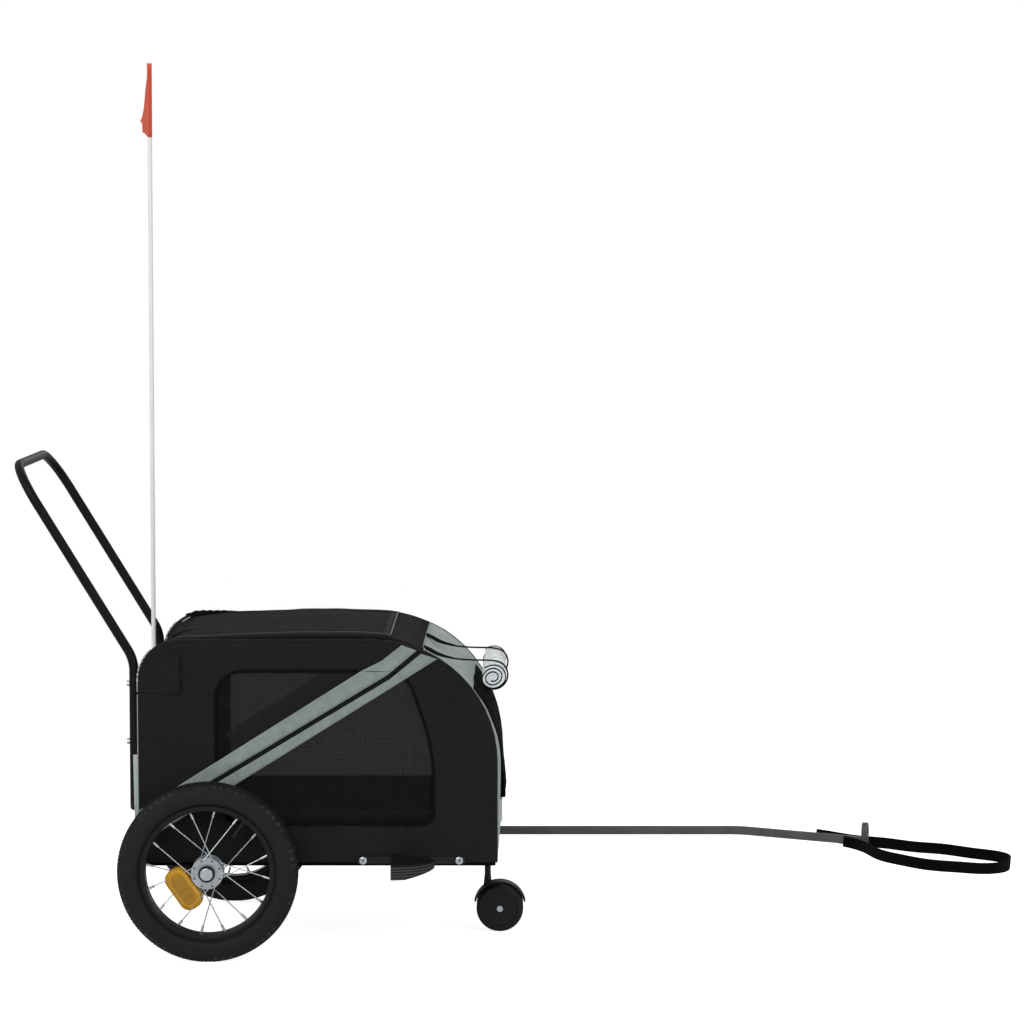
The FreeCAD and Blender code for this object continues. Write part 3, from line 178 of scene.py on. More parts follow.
class Finish:
    """One procedural material."""

    def __init__(self, name):
        self.material = bpy.data.materials.new(name)
        self.material.use_nodes = True
        self.tree = self.material.node_tree
        self.tree.nodes.clear()
        self.surface = self.tree.nodes.new("ShaderNodeBsdfPrincipled")
        output = self.tree.nodes.new("ShaderNodeOutputMaterial")
        self.tree.links.new(self.surface.outputs[0], output.inputs[0])

    def feed(self, socket, value):
        if isinstance(value, Value):
            self.tree.links.new(value.socket, socket)
        else:
            socket.default_value = value

    def node(self, kind, settings=None, *values, output=0, **named):
        made = self.tree.nodes.new(kind)
        for key, setting in (settings or {}).items():
            setattr(made, key, setting)
        for index, value in enumerate(values):
            self.feed(made.inputs[index], value)
        for key, value in named.items():
            self.feed(made.inputs[key.replace("_", " ")], value)
        return Value(self, made.outputs[output])

    def place(self, kind="Object"):
        return self.node("ShaderNodeTexCoord", output=kind)

    def axes(self, place):
        first = self.node("ShaderNodeSeparateXYZ", None, place)
        return [Value(self, socket) for socket in first.socket.node.outputs]

    def grain(self, place, scale, detail=2.0, rough=0.5):
        return self.node("ShaderNodeTexNoise", None, Vector=place, Scale=scale, Detail=detail,
                         Roughness=rough)

    def cells(self, place, scale):
        return self.node("ShaderNodeTexVoronoi", {"feature": "F1"}, Vector=place, Scale=scale)

    def mix(self, share, first, second):
        made = self.tree.nodes.new("ShaderNodeMix")
        made.data_type = "RGBA"
        for index, value in ((0, share), (6, first), (7, second)):
            self.feed(made.inputs[index], value)
        return Value(self, made.outputs[2])

    def bump(self, height, distance):
        return self.node("ShaderNodeBump", None, Strength=1.0, Distance=distance, Height=height)

    def done(self, **sockets):
        for key, value in sockets.items():
            self.feed(self.surface.inputs[key.replace("_", " ")], value)
        return self.material


def darker(color, share):
    return (*(level * share for level in color[:3]), 1.0)


def woven(name, color, pitch, depth, sheen=0.05, uv=True, gloss=0.12):
    """Woven cloth: crossed threads, slubs, faint dust and broad changes of tone."""
    made = Finish(name)
    place = made.place("UV" if uv else "Object")
    across, along, other = made.axes(place)
    if not uv:
        along = other
    turn = 2 * math.pi / pitch
    threads = (across * turn).sine() * (along * turn).sine() * 0.5 + 0.5
    slub = made.grain(place, 900.0, 2.0)
    dust = made.grain(place, 55.0, 4.0, 0.6)
    broad = made.grain(place, 9.0, 3.0)
    tint = made.mix(dust.ramp(0.35, 0.75), darker(color, 0.86), darker(color, 1.1))
    tint = made.mix(broad.ramp(0.3, 0.7, 0.0, 0.25), tint, darker(color, 1.3))
    tint = made.mix(threads.ramp(0.2, 0.8, 0.18, 0.0), tint, darker(color, 0.55))
    return made.done(Base_Color=tint, Roughness=dust * 0.12 + 0.82, Sheen_Weight=sheen, Sheen_Roughness=0.45,
                     Specular_IOR_Level=gloss, Normal=made.bump(threads + slub * 0.6, depth))


NET_CHECK = 0.0072


def knitted_mesh(name, color, pitch, opening, painted_glow=0.0, gloss=0.15):
    """Mesh: fine threads with rounded holes; a close one may have a painted glow on its inner side, standing
    in for daylight coming through.
    """
    made = Finish(name)
    place = made.place("UV")
    across, along, _ = made.axes(place)
    turn = 2 * math.pi / pitch
    net = (across * turn).sine() * (along * turn).sine()
    hole = abs(net) > opening
    dust = made.grain(place, 40.0, 3.0)
    coarse = 2 * math.pi / NET_CHECK
    bars = (across * coarse).sine().most((along * coarse).sine())
    tint = made.mix(dust.ramp(0.3, 0.7), darker(color, 0.8), darker(color, 1.25))
    tint = made.mix(bars.ramp(0.3, 0.95, 0.0, 0.2), tint, darker(color, 1.5))
    # Painted glow: emission on the inner side of the net stands in for daylight coming through it; the net is
    # no lamp.
    if painted_glow:
        inner = made.node("ShaderNodeNewGeometry", output="Backfacing")
        painted_daylight = (painted_glow, painted_glow, painted_glow)
        light = made.mix(bars.ramp(0.2, 0.95), darker(painted_daylight, 0.85), darker(painted_daylight, 1.15))
        made.done(Emission_Color=made.mix(inner, (0.0, 0.0, 0.0, 1.0), light), Emission_Strength=1.0)
    return made.done(Base_Color=tint, Roughness=0.75, Alpha=1 - hole, Specular_IOR_Level=gloss,
                     Normal=made.bump(1 - abs(net), 0.0004))


def painted(name, color, rough, grain=2200.0, depth=0.00012, wear=0.0, dirt=1.0, gloss=0.5):
    """Powder coat: fine orange peel, slight dust and a little wear."""
    made = Finish(name)
    place = made.place()
    peel = made.grain(place, grain, 2.0)
    dust = made.grain(place, 30.0, 4.0, 0.6)
    tint = made.mix(dust.ramp(0.35, 0.8), darker(color, 1 - 0.1 * dirt), darker(color, 1 + 0.18 * dirt))
    if wear:
        scuff = made.grain(place, 240.0, 5.0, 0.7)
        tint = made.mix(scuff.ramp(0.66, 0.74, 0.0, wear), tint, darker(color, 2.2))
    return made.done(Base_Color=tint, Roughness=dust * 0.16 + (rough - 0.08), Specular_IOR_Level=gloss,
                     Normal=made.bump(peel, depth))


def plated(name, color, rough):
    """Zinc plated steel: fine spots and a soft bloom."""
    made = Finish(name)
    place = made.place()
    spots = made.cells(place, 420.0)
    bloom = made.grain(place, 60.0, 4.0)
    tint = made.mix(bloom.ramp(0.3, 0.75), darker(color, 0.82), color)
    return made.done(Base_Color=tint, Metallic=1.0, Roughness=bloom * 0.2 + (rough - 0.1),
                     Normal=made.bump(spots, 0.00006))


def moulded(name, color, rough, grain=1400.0):
    """Moulded plastic with a fine spark grain."""
    made = Finish(name)
    place = made.place()
    spark = made.cells(place, grain)
    dust = made.grain(place, 45.0, 4.0, 0.65)
    tint = made.mix(dust.ramp(0.3, 0.8), darker(color, 0.85), darker(color, 1.25))
    return made.done(Base_Color=tint, Roughness=dust * 0.14 + (rough - 0.07), Specular_IOR_Level=0.25,
                     Normal=made.bump(spark, 0.00012))


def ribbed(name, color, inner, top, pitch):
    """Moulded plastic with ribs round its outer face, painted with bright patchy highlights, and a plain dark
    top.
    """
    made = Finish(name)
    place = made.place()
    _, across, up = made.axes(place)
    face = abs(across).ramp(inner, inner + 0.004) * up.ramp(top, top - 0.003)
    rib = (up * (2 * math.pi / pitch)).sine()
    patchy_highlight = made.grain(place, 30.0, 3.0)
    # Painted highlight: the ribs on the outer face are lit up to nine times the plastic's tone in patches;
    # the top keeps the plain colour.
    tint = made.mix(rib.ramp(-0.2, 0.9) * face * patchy_highlight.ramp(0.25, 0.6, 0.45, 1.0), color, darker(color, 9.0))
    return made.done(Base_Color=tint, Roughness=0.5, Specular_IOR_Level=0.25,
                     Normal=made.bump(rib * face, 0.0006))


def tyre_rubber(name, color, centre):
    """Tyre rubber with moulded rings on the side wall and dust."""
    made = Finish(name)
    place = made.place()
    across, _, up = made.axes(place)
    out_x = across - centre.x
    out_z = up - centre.z
    radius = (out_x * out_x + out_z * out_z).root()
    rings = (radius * (2 * math.pi / 0.009)).sine()
    wall = radius.ramp(0.116, 0.118) * radius.ramp(0.130, 0.128)
    dust = made.grain(place, 70.0, 5.0, 0.65)
    fine = made.grain(place, 1500.0, 2.0)
    tint = made.mix(dust.ramp(0.35, 0.8), darker(color, 0.8), darker(color, 1.3))
    return made.done(Base_Color=tint, Roughness=dust * 0.2 + 0.6, Specular_IOR_Level=0.22,
                     Normal=made.bump(rings * wall * 0.5 + fine * 0.25, 0.0006))


def highlit_rubber(name, color):
    """Rubber of the tread's shoulders, with pale patches painted on as highlights of light catching the
    blocks.
    """
    made = Finish(name)
    place = made.place()
    patch = made.grain(place, 20.0, 2.0)
    speck = made.grain(place, 260.0, 3.0, 0.7)
    # Painted highlight: pale speckled patches up to 4.5 times the rubber's tone.
    painted_highlight = patch.ramp(0.4, 0.6) * speck.ramp(0.4, 0.6, 0.3, 1.0)
    return made.done(Base_Color=made.mix(painted_highlight, color, darker(color, 4.5)), Roughness=speck * 0.2 + 0.65,
                     Specular_IOR_Level=0.2, Normal=made.bump(speck, 0.0005))


def lens(name, color, pitch):
    """A reflector's lens: a grid of small prisms under a glossy face."""
    made = Finish(name)
    place = made.node("ShaderNodeMapping", None, Vector=made.place(), Rotation=(0.0, math.radians(35), 0.0))
    across, _, up = made.axes(place)
    turn = 2 * math.pi / pitch
    prism = (across * turn).sine() * (up * turn).sine()
    bars = abs((across * (turn / 5)).sine())
    tint = made.mix(prism.ramp(-0.6, 0.6), darker(color, 0.55), color)
    tint = made.mix(bars.ramp(0.12, 0.02, 0.0, 0.6), tint, darker(color, 0.4))
    return made.done(Base_Color=tint, Roughness=0.3, Coat_Weight=0.3, Coat_Roughness=0.05,
                     Normal=made.bump(prism, 0.0005))


def clear_film(name):
    """Clear soft film: glossy, milky where it is seen edge on, with soft ripples and a faint painted glow."""
    made = Finish(name)
    place = made.place()
    facing = made.node("ShaderNodeLayerWeight", None, Blend=0.35, output="Facing")
    ripple = made.grain(place, 45.0, 3.0)
    streak = made.grain(place, 14.0, 2.0)
    # The faint white emission is a painted glow, standing in for light passing through the rolled layers of
    # film.
    return made.done(Base_Color=(0.95, 0.97, 0.98, 1), Roughness=0.07, Specular_IOR_Level=0.7,
                     Alpha=facing * 0.55 + streak * 0.3 + 0.1, Emission_Color=(0.9, 0.95, 0.97, 1),
                     Emission_Strength=0.12, Normal=made.bump(ripple, 0.004))


def ripstop(name, color, pitch=0.005, thread=0.0006):
    """Light nylon with a ripstop grid."""
    made = Finish(name)
    place = made.place("UV")
    across, along, _ = made.axes(place)
    grid = ((across % pitch) < thread).most((along % pitch) < thread)
    fold = made.grain(place, 20.0, 3.0)
    tint = made.mix(fold.ramp(0.3, 0.7), darker(color, 0.95), darker(color, 1.07))
    tint = made.mix(grid * 0.1, tint, darker(color, 0.8))
    return made.done(Base_Color=tint, Roughness=0.8, Specular_IOR_Level=0.05,
                     Normal=made.bump(grid + fold, 0.00006))


def webbing(name, color, rib=0.005, pitch=0.0024):
    """Woven webbing: herringbone ribs along the length, with lighter flecks."""
    made = Finish(name)
    place = made.place("UV")
    along, across, _ = made.axes(place)
    weave = ((abs((across % rib) - rib / 2) * 2 + along) * (2 * math.pi / pitch)).sine()
    fleck = made.grain(place, 520.0, 2.0)
    tint = made.mix(fleck.ramp(0.58, 0.7), color, darker(color, 5.0))
    tint = made.mix(weave.ramp(-0.4, 0.8, 0.4, 0.0), tint, darker(color, 0.3))
    return made.done(Base_Color=tint, Roughness=0.85, Specular_IOR_Level=0.08,
                     Normal=made.bump(weave + fleck, 0.0005))


def quilted(name, color):
    """Padded cloth of the floor mat."""
    return woven(name, color, 0.0016, 0.0003, uv=False)


FINISHES = {}


def finish(name):
    return FINISHES[name]


def middle_of(node):
    """The middle of a solid's box."""
    low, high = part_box(node)
    return (low + high) / 2


def make_finishes():
    centre = middle_of("tyre_right")
    black, grey, zinc = rgb("cloth_black"), rgb("cloth_grey"), rgb("zinc")
    mesh, rubber, plastic = rgb("mesh_black"), rgb("rubber"), rgb("plastic")
    FINISHES.update({
        "black_cloth": woven("black_cloth", black, 0.0013, 0.00022),
        # The roof is a darker copy of the black cloth, at 0.4 of its tone: painted shade that holds the lit
        # top down.
        "roof_cloth_painted_shade": woven("roof_cloth_painted_shade", darker(black, 0.4), 0.0013, 0.00022, sheen=0.03, gloss=0.06),
        "grey_cloth": woven("grey_cloth", grey, 0.0013, 0.0002, sheen=0.02),
        "stripe_cloth": woven("stripe_cloth", rgb("stripe_grey"), 0.0011, 0.00016, sheen=0.02),
        "binding": woven("binding", darker(black, 0.6), 0.0011, 0.0002),
        # The panels' piping is a lighter copy of the black cloth: a painted highlight of light caught along
        # the edges.
        "edge_cloth_painted_highlight": woven("edge_cloth_painted_highlight", darker(black, 1.5), 0.0011, 0.0002, uv=False),
        # The tread's shoulder blocks take pale painted highlights.
        "tread_highlight": highlit_rubber("tread_highlight", rubber),
        "amber_window": lens("amber_window", darker(rgb("amber"), 0.72), 0.0022),
        "cord_black": woven("cord_black", darker(black, 0.25), 0.0011, 0.0002, sheen=0.0, uv=False),
        "window_net_right": knitted_mesh("window_net_right", mesh, 0.0012, 0.6),
        # The left net and the sash's lining are nearly closed and carry a painted glow on their inner side,
        # standing in for daylight through the far window.
        "window_net_left": knitted_mesh("window_net_left", mesh, 0.0012, 0.995, 0.05),
        "sash_lining": knitted_mesh("sash_lining", mesh, 0.0012, 0.995, 0.024),
        # The door's net and cloth are darker copies of the mesh and the black cloth, at a quarter of their
        # tone: painted shade on the front.
        "door_net_painted_shade": knitted_mesh("door_net_painted_shade", darker(mesh, 0.25), 0.0026, 0.93, gloss=0.03),
        "door_cloth": woven("door_cloth", darker(black, 0.25), 0.0011, 0.0002, sheen=0.0, gloss=0.03),
        "thread": woven("thread", darker(black, 1.9), 0.0007, 0.0001, uv=False),
        "grey_thread": woven("grey_thread", darker(grey, 0.8), 0.0007, 0.0001, uv=False),
        "frame_paint": painted("frame_paint", rgb("frame_black"), 0.4, wear=0.15, gloss=0.14),
        # The rails are a darker copy of the frame paint, at 0.4 of its tone: painted shade of their shaded
        # side.
        "rail_paint_painted_shade": painted("rail_paint_painted_shade", darker(rgb("frame_black"), 0.4), 0.6, gloss=0.04),
        "bar_paint": painted("bar_paint", rgb("bar_grey"), 0.45, wear=0.2, gloss=0.3),
        "zinc_plate": plated("zinc_plate", zinc, 0.42),
        "bright_steel": plated("bright_steel", darker(zinc, 1.15), 0.28),
        "rim_paint": painted("rim_paint", rgb("frame_black"), 0.32, gloss=0.25),
        "tyre_rubber": tyre_rubber("tyre_rubber", rubber, centre),
        "black_plastic": moulded("black_plastic", plastic, 0.5),
        # The guards' ribs carry painted highlights.
        "guard_plastic": ribbed("guard_plastic", plastic, 0.234, 0.166, 0.0046),
        "caster_rubber": moulded("caster_rubber", darker(rubber, 0.8), 0.5, 700.0),
        "amber_lens": lens("amber_lens", rgb("amber"), 0.0032),
        "clear_lens": lens("clear_lens", (0.85, 0.87, 0.88, 1), 0.003),
        "clear_film": clear_film("clear_film"),
        "flag_nylon": ripstop("flag_nylon", rgb("flag")),
        "pole_white": painted("pole_white", rgb("pole"), 0.35, 900.0, 0.00005, dirt=0.2),
        "strap_web": webbing("strap_web", (0.0025, 0.0025, 0.0027, 1)),
        "elastic": webbing("elastic", (0.01, 0.01, 0.0105, 1)),
        "board": moulded("board", plastic, 0.7, 500.0),
        "mat_cloth": quilted("mat_cloth", darker(grey, 0.35)),
        "zip_metal": plated("zip_metal", darker(zinc, 0.25), 0.35),
    })


NODE_FINISHES = {
    # The rails take a darker copy of the frame paint as painted shade.
    "rail_paint_painted_shade": ("rail_left", "rail_right"),
    "frame_paint": ("front_cross_tube", "rear_cross_tube", "axle_tube", "hoop_left",
                    "hoop_right", "spreader_tubes", "push_handle"),
    "bar_paint": ("tow_bar", "tow_clevis", "hitch_lug"),
    "zinc_plate": ("hub_left", "hub_right", "hub_bearings_left", "hub_bearings_right"),
    "bright_steel": ("frame_bolts", "tow_pivot_bolt", "spokes_left", "spokes_right", "caster_axle",
                     "release_button_left", "release_button_right"),
    "rim_paint": ("rim_left", "rim_right"),
    "tyre_rubber": ("tyre_left", "tyre_right"),
    "black_plastic": ("handle_plugs", "hoop_sockets", "spreader_saddles", "flag_socket", "tow_clamp_knob",
                      "caster_bush", "caster_fork", "axle_pin_left", "axle_pin_right"),
    "guard_plastic": ("wheel_guard_left", "wheel_guard_right"),
    "caster_rubber": ("caster_wheel_left", "caster_wheel_right"),
    "amber_lens": ("wheel_reflector_left", "wheel_reflector_right"),
    "clear_lens": ("front_reflectors",),
    "pole_white": ("flag_pole",),
    "board": ("floor_board",),
}


# Modelling helpers


def piece(name, mesh_data, material, body, sharp=35):
    """Makes a finished piece of a mesh and fastens it to a body of the trailer."""
    if isinstance(mesh_data, bmesh.types.BMesh):
        mesh = bpy.data.meshes.new(name)
        mesh_data.to_mesh(mesh)
        mesh_data.free()
    else:
        mesh = mesh_data
    mesh.polygons.foreach_set("use_smooth", [True] * len(mesh.polygons))
    mesh.set_sharp_from_angle(angle=math.radians(sharp))
    mesh.materials.clear()
    mesh.materials.append(finish(material))
    made = holder_of(name, mesh)
    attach(made, body)
    return made


def thicken(made, thickness, offset=-1.0):
    wall = made.modifiers.new("wall", "SOLIDIFY")
    wall.thickness = thickness
    wall.offset = offset
    return made


def polygon(bm, corners):
    """A flat face of a few corners (x, z), each rounded by its own radius, at y = 0."""
    verts = [bm.verts.new((corner[0], 0, corner[1])) for corner in corners]
    bm.faces.new(verts)
    bm.normal_update()
    rounded = [(vert, corner[2]) for vert, corner in zip(verts, corners) if len(corner) > 2]
    for vert, radius in rounded:
        ends = [edge.other_vert(vert).co - vert.co for edge in vert.link_edges]
        half = ends[0].angle(ends[1]) / 2
        bmesh.ops.bevel(bm, geom=[vert], offset=radius / math.tan(half), offset_type="OFFSET", segments=14,
                        profile=0.5, affect="VERTICES", clamp_overlap=False, material=-1)
    bm.normal_update()


def verts_of(grown):
    return [item for item in grown["geom"] if isinstance(item, bmesh.types.BMVert)]


def edges_of(grown):
    return [item for item in grown["geom"] if isinstance(item, bmesh.types.BMEdge)]


def flat_map(bm, place):
    """Gives a mesh a UV map in metres, worked out from each vertex."""
    layer = bm.loops.layers.uv.new("flat")
    for face in bm.faces:
        for loop in face.loops:
            loop[layer].uv = place(loop.vert.co)


def holder_of(name, data):
    """An object for a mesh, curve, lamp or camera, in the scene."""
    made = bpy.data.objects.new(name, data)
    bpy.context.scene.collection.objects.link(made)
    return made


def mesh_of(holder):
    """The finished mesh of an object."""
    return bpy.data.meshes.new_from_object(holder.evaluated_get(bpy.context.evaluated_depsgraph_get()))


def solid_of(name, bm):
    """A bare object of a bmesh, which is freed."""
    mesh = bpy.data.meshes.new(name)
    bm.to_mesh(mesh)
    bm.free()
    return holder_of(name, mesh)


def spline_through(name, points, smooth=True):
    """A curve through points: a smooth one with its ends on the first and last, or a broken line."""
    line = bpy.data.curves.new(name, "CURVE")
    line.dimensions = "3D"
    run = line.splines.new("NURBS" if smooth else "POLY")
    run.points.add(len(points) - 1)
    for spot, point in zip(run.points, points):
        spot.co = (*point, 1)
    if smooth:
        run.order_u = 3
        run.use_endpoint_u = True
    return line, run


def prism(corners, depth=0.2):
    """A temporary solid of an outline, for cutting sheets."""
    bm = bmesh.new()
    polygon(bm, corners)
    grown = bmesh.ops.extrude_face_region(bm, geom=bm.faces[:])
    bmesh.ops.translate(bm, verts=verts_of(grown), vec=(0, depth, 0))
    bmesh.ops.translate(bm, verts=bm.verts[:], vec=(0, -depth / 2, 0))
    bmesh.ops.recalc_face_normals(bm, faces=bm.faces[:])
    return solid_of("cutter", bm)


SLAB_DEPTH = 0.01
WELD = 0.00002


def sheet_of(outline, holes=(), cell=None):
    """A flat sheet of small cells in the XZ plane with the outline's shape and holes, facing -y."""
    cell = cell or sizes().cell
    xs = [corner[0] for corner in outline]
    zs = [corner[1] for corner in outline]
    wide, tall = max(xs) - min(xs), max(zs) - min(zs)
    bm = bmesh.new()
    bmesh.ops.create_grid(bm, x_segments=max(2, round(wide / cell)), y_segments=max(2, round(tall / cell)),
                          size=0.5)
    middle = Vector(((max(xs) + min(xs)) / 2, 0, (max(zs) + min(zs)) / 2))
    spread = Matrix.Diagonal((wide + cell, tall + cell, 1, 1))
    bmesh.ops.transform(bm, verts=bm.verts[:],
                        matrix=Matrix.Translation(middle) @ Matrix.Rotation(math.pi / 2, 4, "X") @ spread)
    grown = bmesh.ops.extrude_face_region(bm, geom=bm.faces[:])
    bmesh.ops.translate(bm, verts=verts_of(grown), vec=(0, SLAB_DEPTH, 0))
    bmesh.ops.recalc_face_normals(bm, faces=bm.faces[:])
    slab = solid_of("slab", bm)
    cutters = [prism(outline)] + [prism(hole) for hole in holes]
    for index, cutter in enumerate(cutters):
        cut = slab.modifiers.new("cut", "BOOLEAN")
        cut.object = cutter
        cut.operation = "DIFFERENCE" if index else "INTERSECT"
        cut.solver = "EXACT"
    ready = slab.evaluated_get(bpy.context.evaluated_depsgraph_get())
    flat = bmesh.new()
    flat.from_mesh(ready.to_mesh())
    for item in [slab, *cutters]:
        bpy.data.objects.remove(item)
    flat.normal_update()
    away = [face for face in flat.faces if face.normal.y > -0.9]
    bmesh.ops.delete(flat, geom=away, context="FACES")
    bmesh.ops.remove_doubles(flat, verts=flat.verts[:], dist=WELD)
    return flat


def lay_on_side(bm, sign, lift):
    """Moves a flat sheet onto a side of the cabin, keeps its flat place as its UV map and turns it out."""
    flat_map(bm, lambda spot: spot.xz)
    for vert in bm.verts:
        vert.co.y = sign * (SIDE_FACE + lift + side_swell(vert.co.x, vert.co.z))
    if sign > 0:
        bmesh.ops.reverse_faces(bm, faces=bm.faces[:])
    bm.normal_update()
    return bm


def ripple(x, z, scale, seed):
    return noise.noise(Vector((x * scale, z * scale, seed)))


def tube(name, points, radius, material, body, closed=False, smooth=False, sides=8, shares=None):
    """A round cord along points, as a mesh; shares of the radius may vary along it."""
    line, run = spline_through(name, points, smooth)
    for spot, share in zip(run.points, shares or ()):
        spot.radius = share
    run.use_cyclic_u = closed
    line.bevel_depth = radius
    line.bevel_resolution = max(0, sides // 4 - 1)
    line.use_fill_caps = True
    holder = holder_of(name, line)
    mesh = mesh_of(holder)
    bpy.data.objects.remove(holder)
    return piece(name, mesh, material, body, sharp=60)


def walk(points, step):
    """Even places along a broken line, each with its direction."""
    left = step / 2
    for start, end in zip(points, points[1:]):
        run = end - start
        while left < run.length:
            yield start + run.normalized() * left, run.normalized()
            left += step
        left -= run.length


def stitches(name, lines, material, body, long=None, wide=0.0008, tall=0.0007, gap=None):
    """Rows of stitches: each line is its points and the way out of the cloth."""
    long = long or sizes().stitch
    step = long + (sizes().stitch_gap if gap is None else gap)
    bm = bmesh.new()
    for points, out in lines:
        for spot, along in walk([Vector(point) for point in points], step):
            normal = out(spot) if callable(out) else Vector(out)
            side = normal.cross(along).normalized()
            turn = Matrix((along, side, normal)).transposed().to_4x4()
            size = Matrix.Diagonal((long, wide, tall, 1))
            bmesh.ops.create_cube(bm, size=1, matrix=Matrix.Translation(spot) @ turn @ size)
    return piece(name, bm, material, body)


# The cabin's cloth

SIDE_FACE = abs(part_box("side_panel_right")[0].y)
REAR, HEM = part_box("side_panel_right")[0].x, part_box("side_panel_right")[0].z
FRONT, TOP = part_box("side_panel_right")[1].x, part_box("side_panel_right")[1].z
REAR_ROUND = 0.0683
FRONT_ROUND = 0.2103
SIDE_LOW = HEM + 0.0035
SIDE_OUTLINE = ((REAR, SIDE_LOW), (FRONT, SIDE_LOW), (FRONT, TOP, FRONT_ROUND), (REAR, TOP, REAR_ROUND))
SIDE_MIDDLE = (-0.34, 0.34)
REAR_FLAP = ((-0.661, 0.185), (-0.652, 0.185), (-0.652, 0.448), (-0.6562, 0.448), (-0.6562, 0.345),
             (-0.6635, 0.345))
WINDOW_OUTLINE = ((-0.522, 0.226, 0.045), (-0.152, 0.226, 0.02), (-0.152, 0.357, 0.3), (-0.199, 0.488, 0.045),
                  (-0.522, 0.488, 0.045))
WINDOW_SHADE_BAND = ((-0.52, 0.212), (-0.15, 0.212), (-0.15, 0.241), (-0.52, 0.241))
NET_MARGIN = 0.012
SASH_TOP = ((-0.653, 0.250), (-0.522, 0.3328), (-0.2746, 0.4887), (-0.2396, 0.5063), (-0.2055, 0.5332))
SASH_UPPER_LOW = ((-0.653, 0.2265), (-0.535, 0.2978), (-0.2296, 0.4819), (-0.1797, 0.5239))
SASH_LOWER_TOP = ((-0.653, 0.2175), (-0.531, 0.291), (-0.2255, 0.475), (-0.1725, 0.5185))
SASH_LOW = ((-0.653, 0.1915), (-0.490, 0.2933), (-0.210, 0.4682), (-0.1448, 0.5092))
REAR_PATCH = ((-0.6525, 0.452), (-0.582, 0.449), (-0.583, 0.516), (-0.6385, 0.516), (-0.649, 0.498))
FRONT_PATCH = ((-0.178, 0.4585), (-0.1405, 0.4254), (-0.1045, 0.4585), (-0.128, 0.4955), (-0.146, 0.4975))


def side_swell(x, z):
    """Slack of a side panel: broad waves, and small gathers along the window's front and lower edges."""
    waves = ripple(x, z, 14, 3.1) * 0.0012
    front = math.exp(-((x + 0.135) / 0.02) ** 2) * ripple(x * 0.3, z, 70, 7.7) * 0.003 * (z < 0.44)
    low = math.exp(-((z - 0.222) / 0.012) ** 2) * ripple(x, z * 0.3, 60, 1.7) * 0.003 * (x > -0.53)
    return waves + front + low


def along_points(corners, share):
    """The point at a share of a broken line's length."""
    points = [Vector((corner[0], 0, corner[1])) for corner in corners]
    runs = [(end - start).length for start, end in zip(points, points[1:])]
    goal = share * sum(runs)
    for start, end, run in zip(points, points[1:], runs):
        if goal <= run:
            return start.lerp(end, goal / run)
        goal -= run
    return points[-1]


def ribbon_between(upper, lower, cells_long, cells_wide):
    """A flat strip between two broken lines."""
    bm = bmesh.new()
    bmesh.ops.create_grid(bm, x_segments=cells_long, y_segments=cells_wide, size=1)
    for vert in bm.verts:
        share, across = (vert.co.x + 1) / 2, (vert.co.y + 1) / 2
        vert.co = along_points(lower, share).lerp(along_points(upper, share), across)
    bm.normal_update()
    return bm


def outline_points(corners):
    """Points along a rounded outline."""
    bm = bmesh.new()
    polygon(bm, corners)
    face = max(bm.faces, key=lambda item: item.calc_area())
    points = [loop.vert.co.copy() for loop in face.loops]
    bm.free()
    return points


def side_points(corners, sign, lift):
    """Flat points moved onto a side of the cabin."""
    return [Vector((p.x, sign * (SIDE_FACE + lift + side_swell(p.x, p.z)), p.z)) for p in corners]


def grown_outline(corners, margin):
    """An outline whose corners move out from the middle of the side, or in by a negative margin."""
    middle_x, middle_z = SIDE_MIDDLE
    return [(x + margin * (1 if x > middle_x else -1), z + margin * (1 if z > middle_z else -1), *rest)
            for x, z, *rest in corners]


def side_ribbon(upper, lower, cells, sign, lift):
    """A strip between two broken lines, laid on a side of the cabin."""
    bm = ribbon_between(upper, lower, cells, 4)
    if sum(face.normal.y for face in bm.faces) > 0:
        bmesh.ops.reverse_faces(bm, faces=bm.faces[:])
    return lay_on_side(bm, sign, lift)


def flat_area(bm):
    return sum(face.calc_area() for face in bm.faces)


SASHES = (("sash_base", SASH_TOP, SASH_LOW, "binding", 0.0019, "fabric_black"),
          ("sash_upper", SASH_TOP, SASH_UPPER_LOW, "stripe_cloth", 0.0027, "fabric_grey"),
          ("sash_lower", SASH_LOWER_TOP, SASH_LOW, "stripe_cloth", 0.0027, "fabric_grey"))
SASH_SEAMS = ((SASH_TOP, SASH_UPPER_LOW, 0.1), (SASH_UPPER_LOW, SASH_TOP, 0.1),
              (SASH_LOWER_TOP, SASH_LOW, 0.12), (SASH_LOW, SASH_LOWER_TOP, 0.12))
SASH_CLOTH = 0.0009
SASH_STITCHES_LIFT = 0.003
FLAP_CELL = 0.004
PATCH_CLOTH = 0.0011
PATCH_SEAM = 0.12
GATHER_STEP = math.radians(2.5)


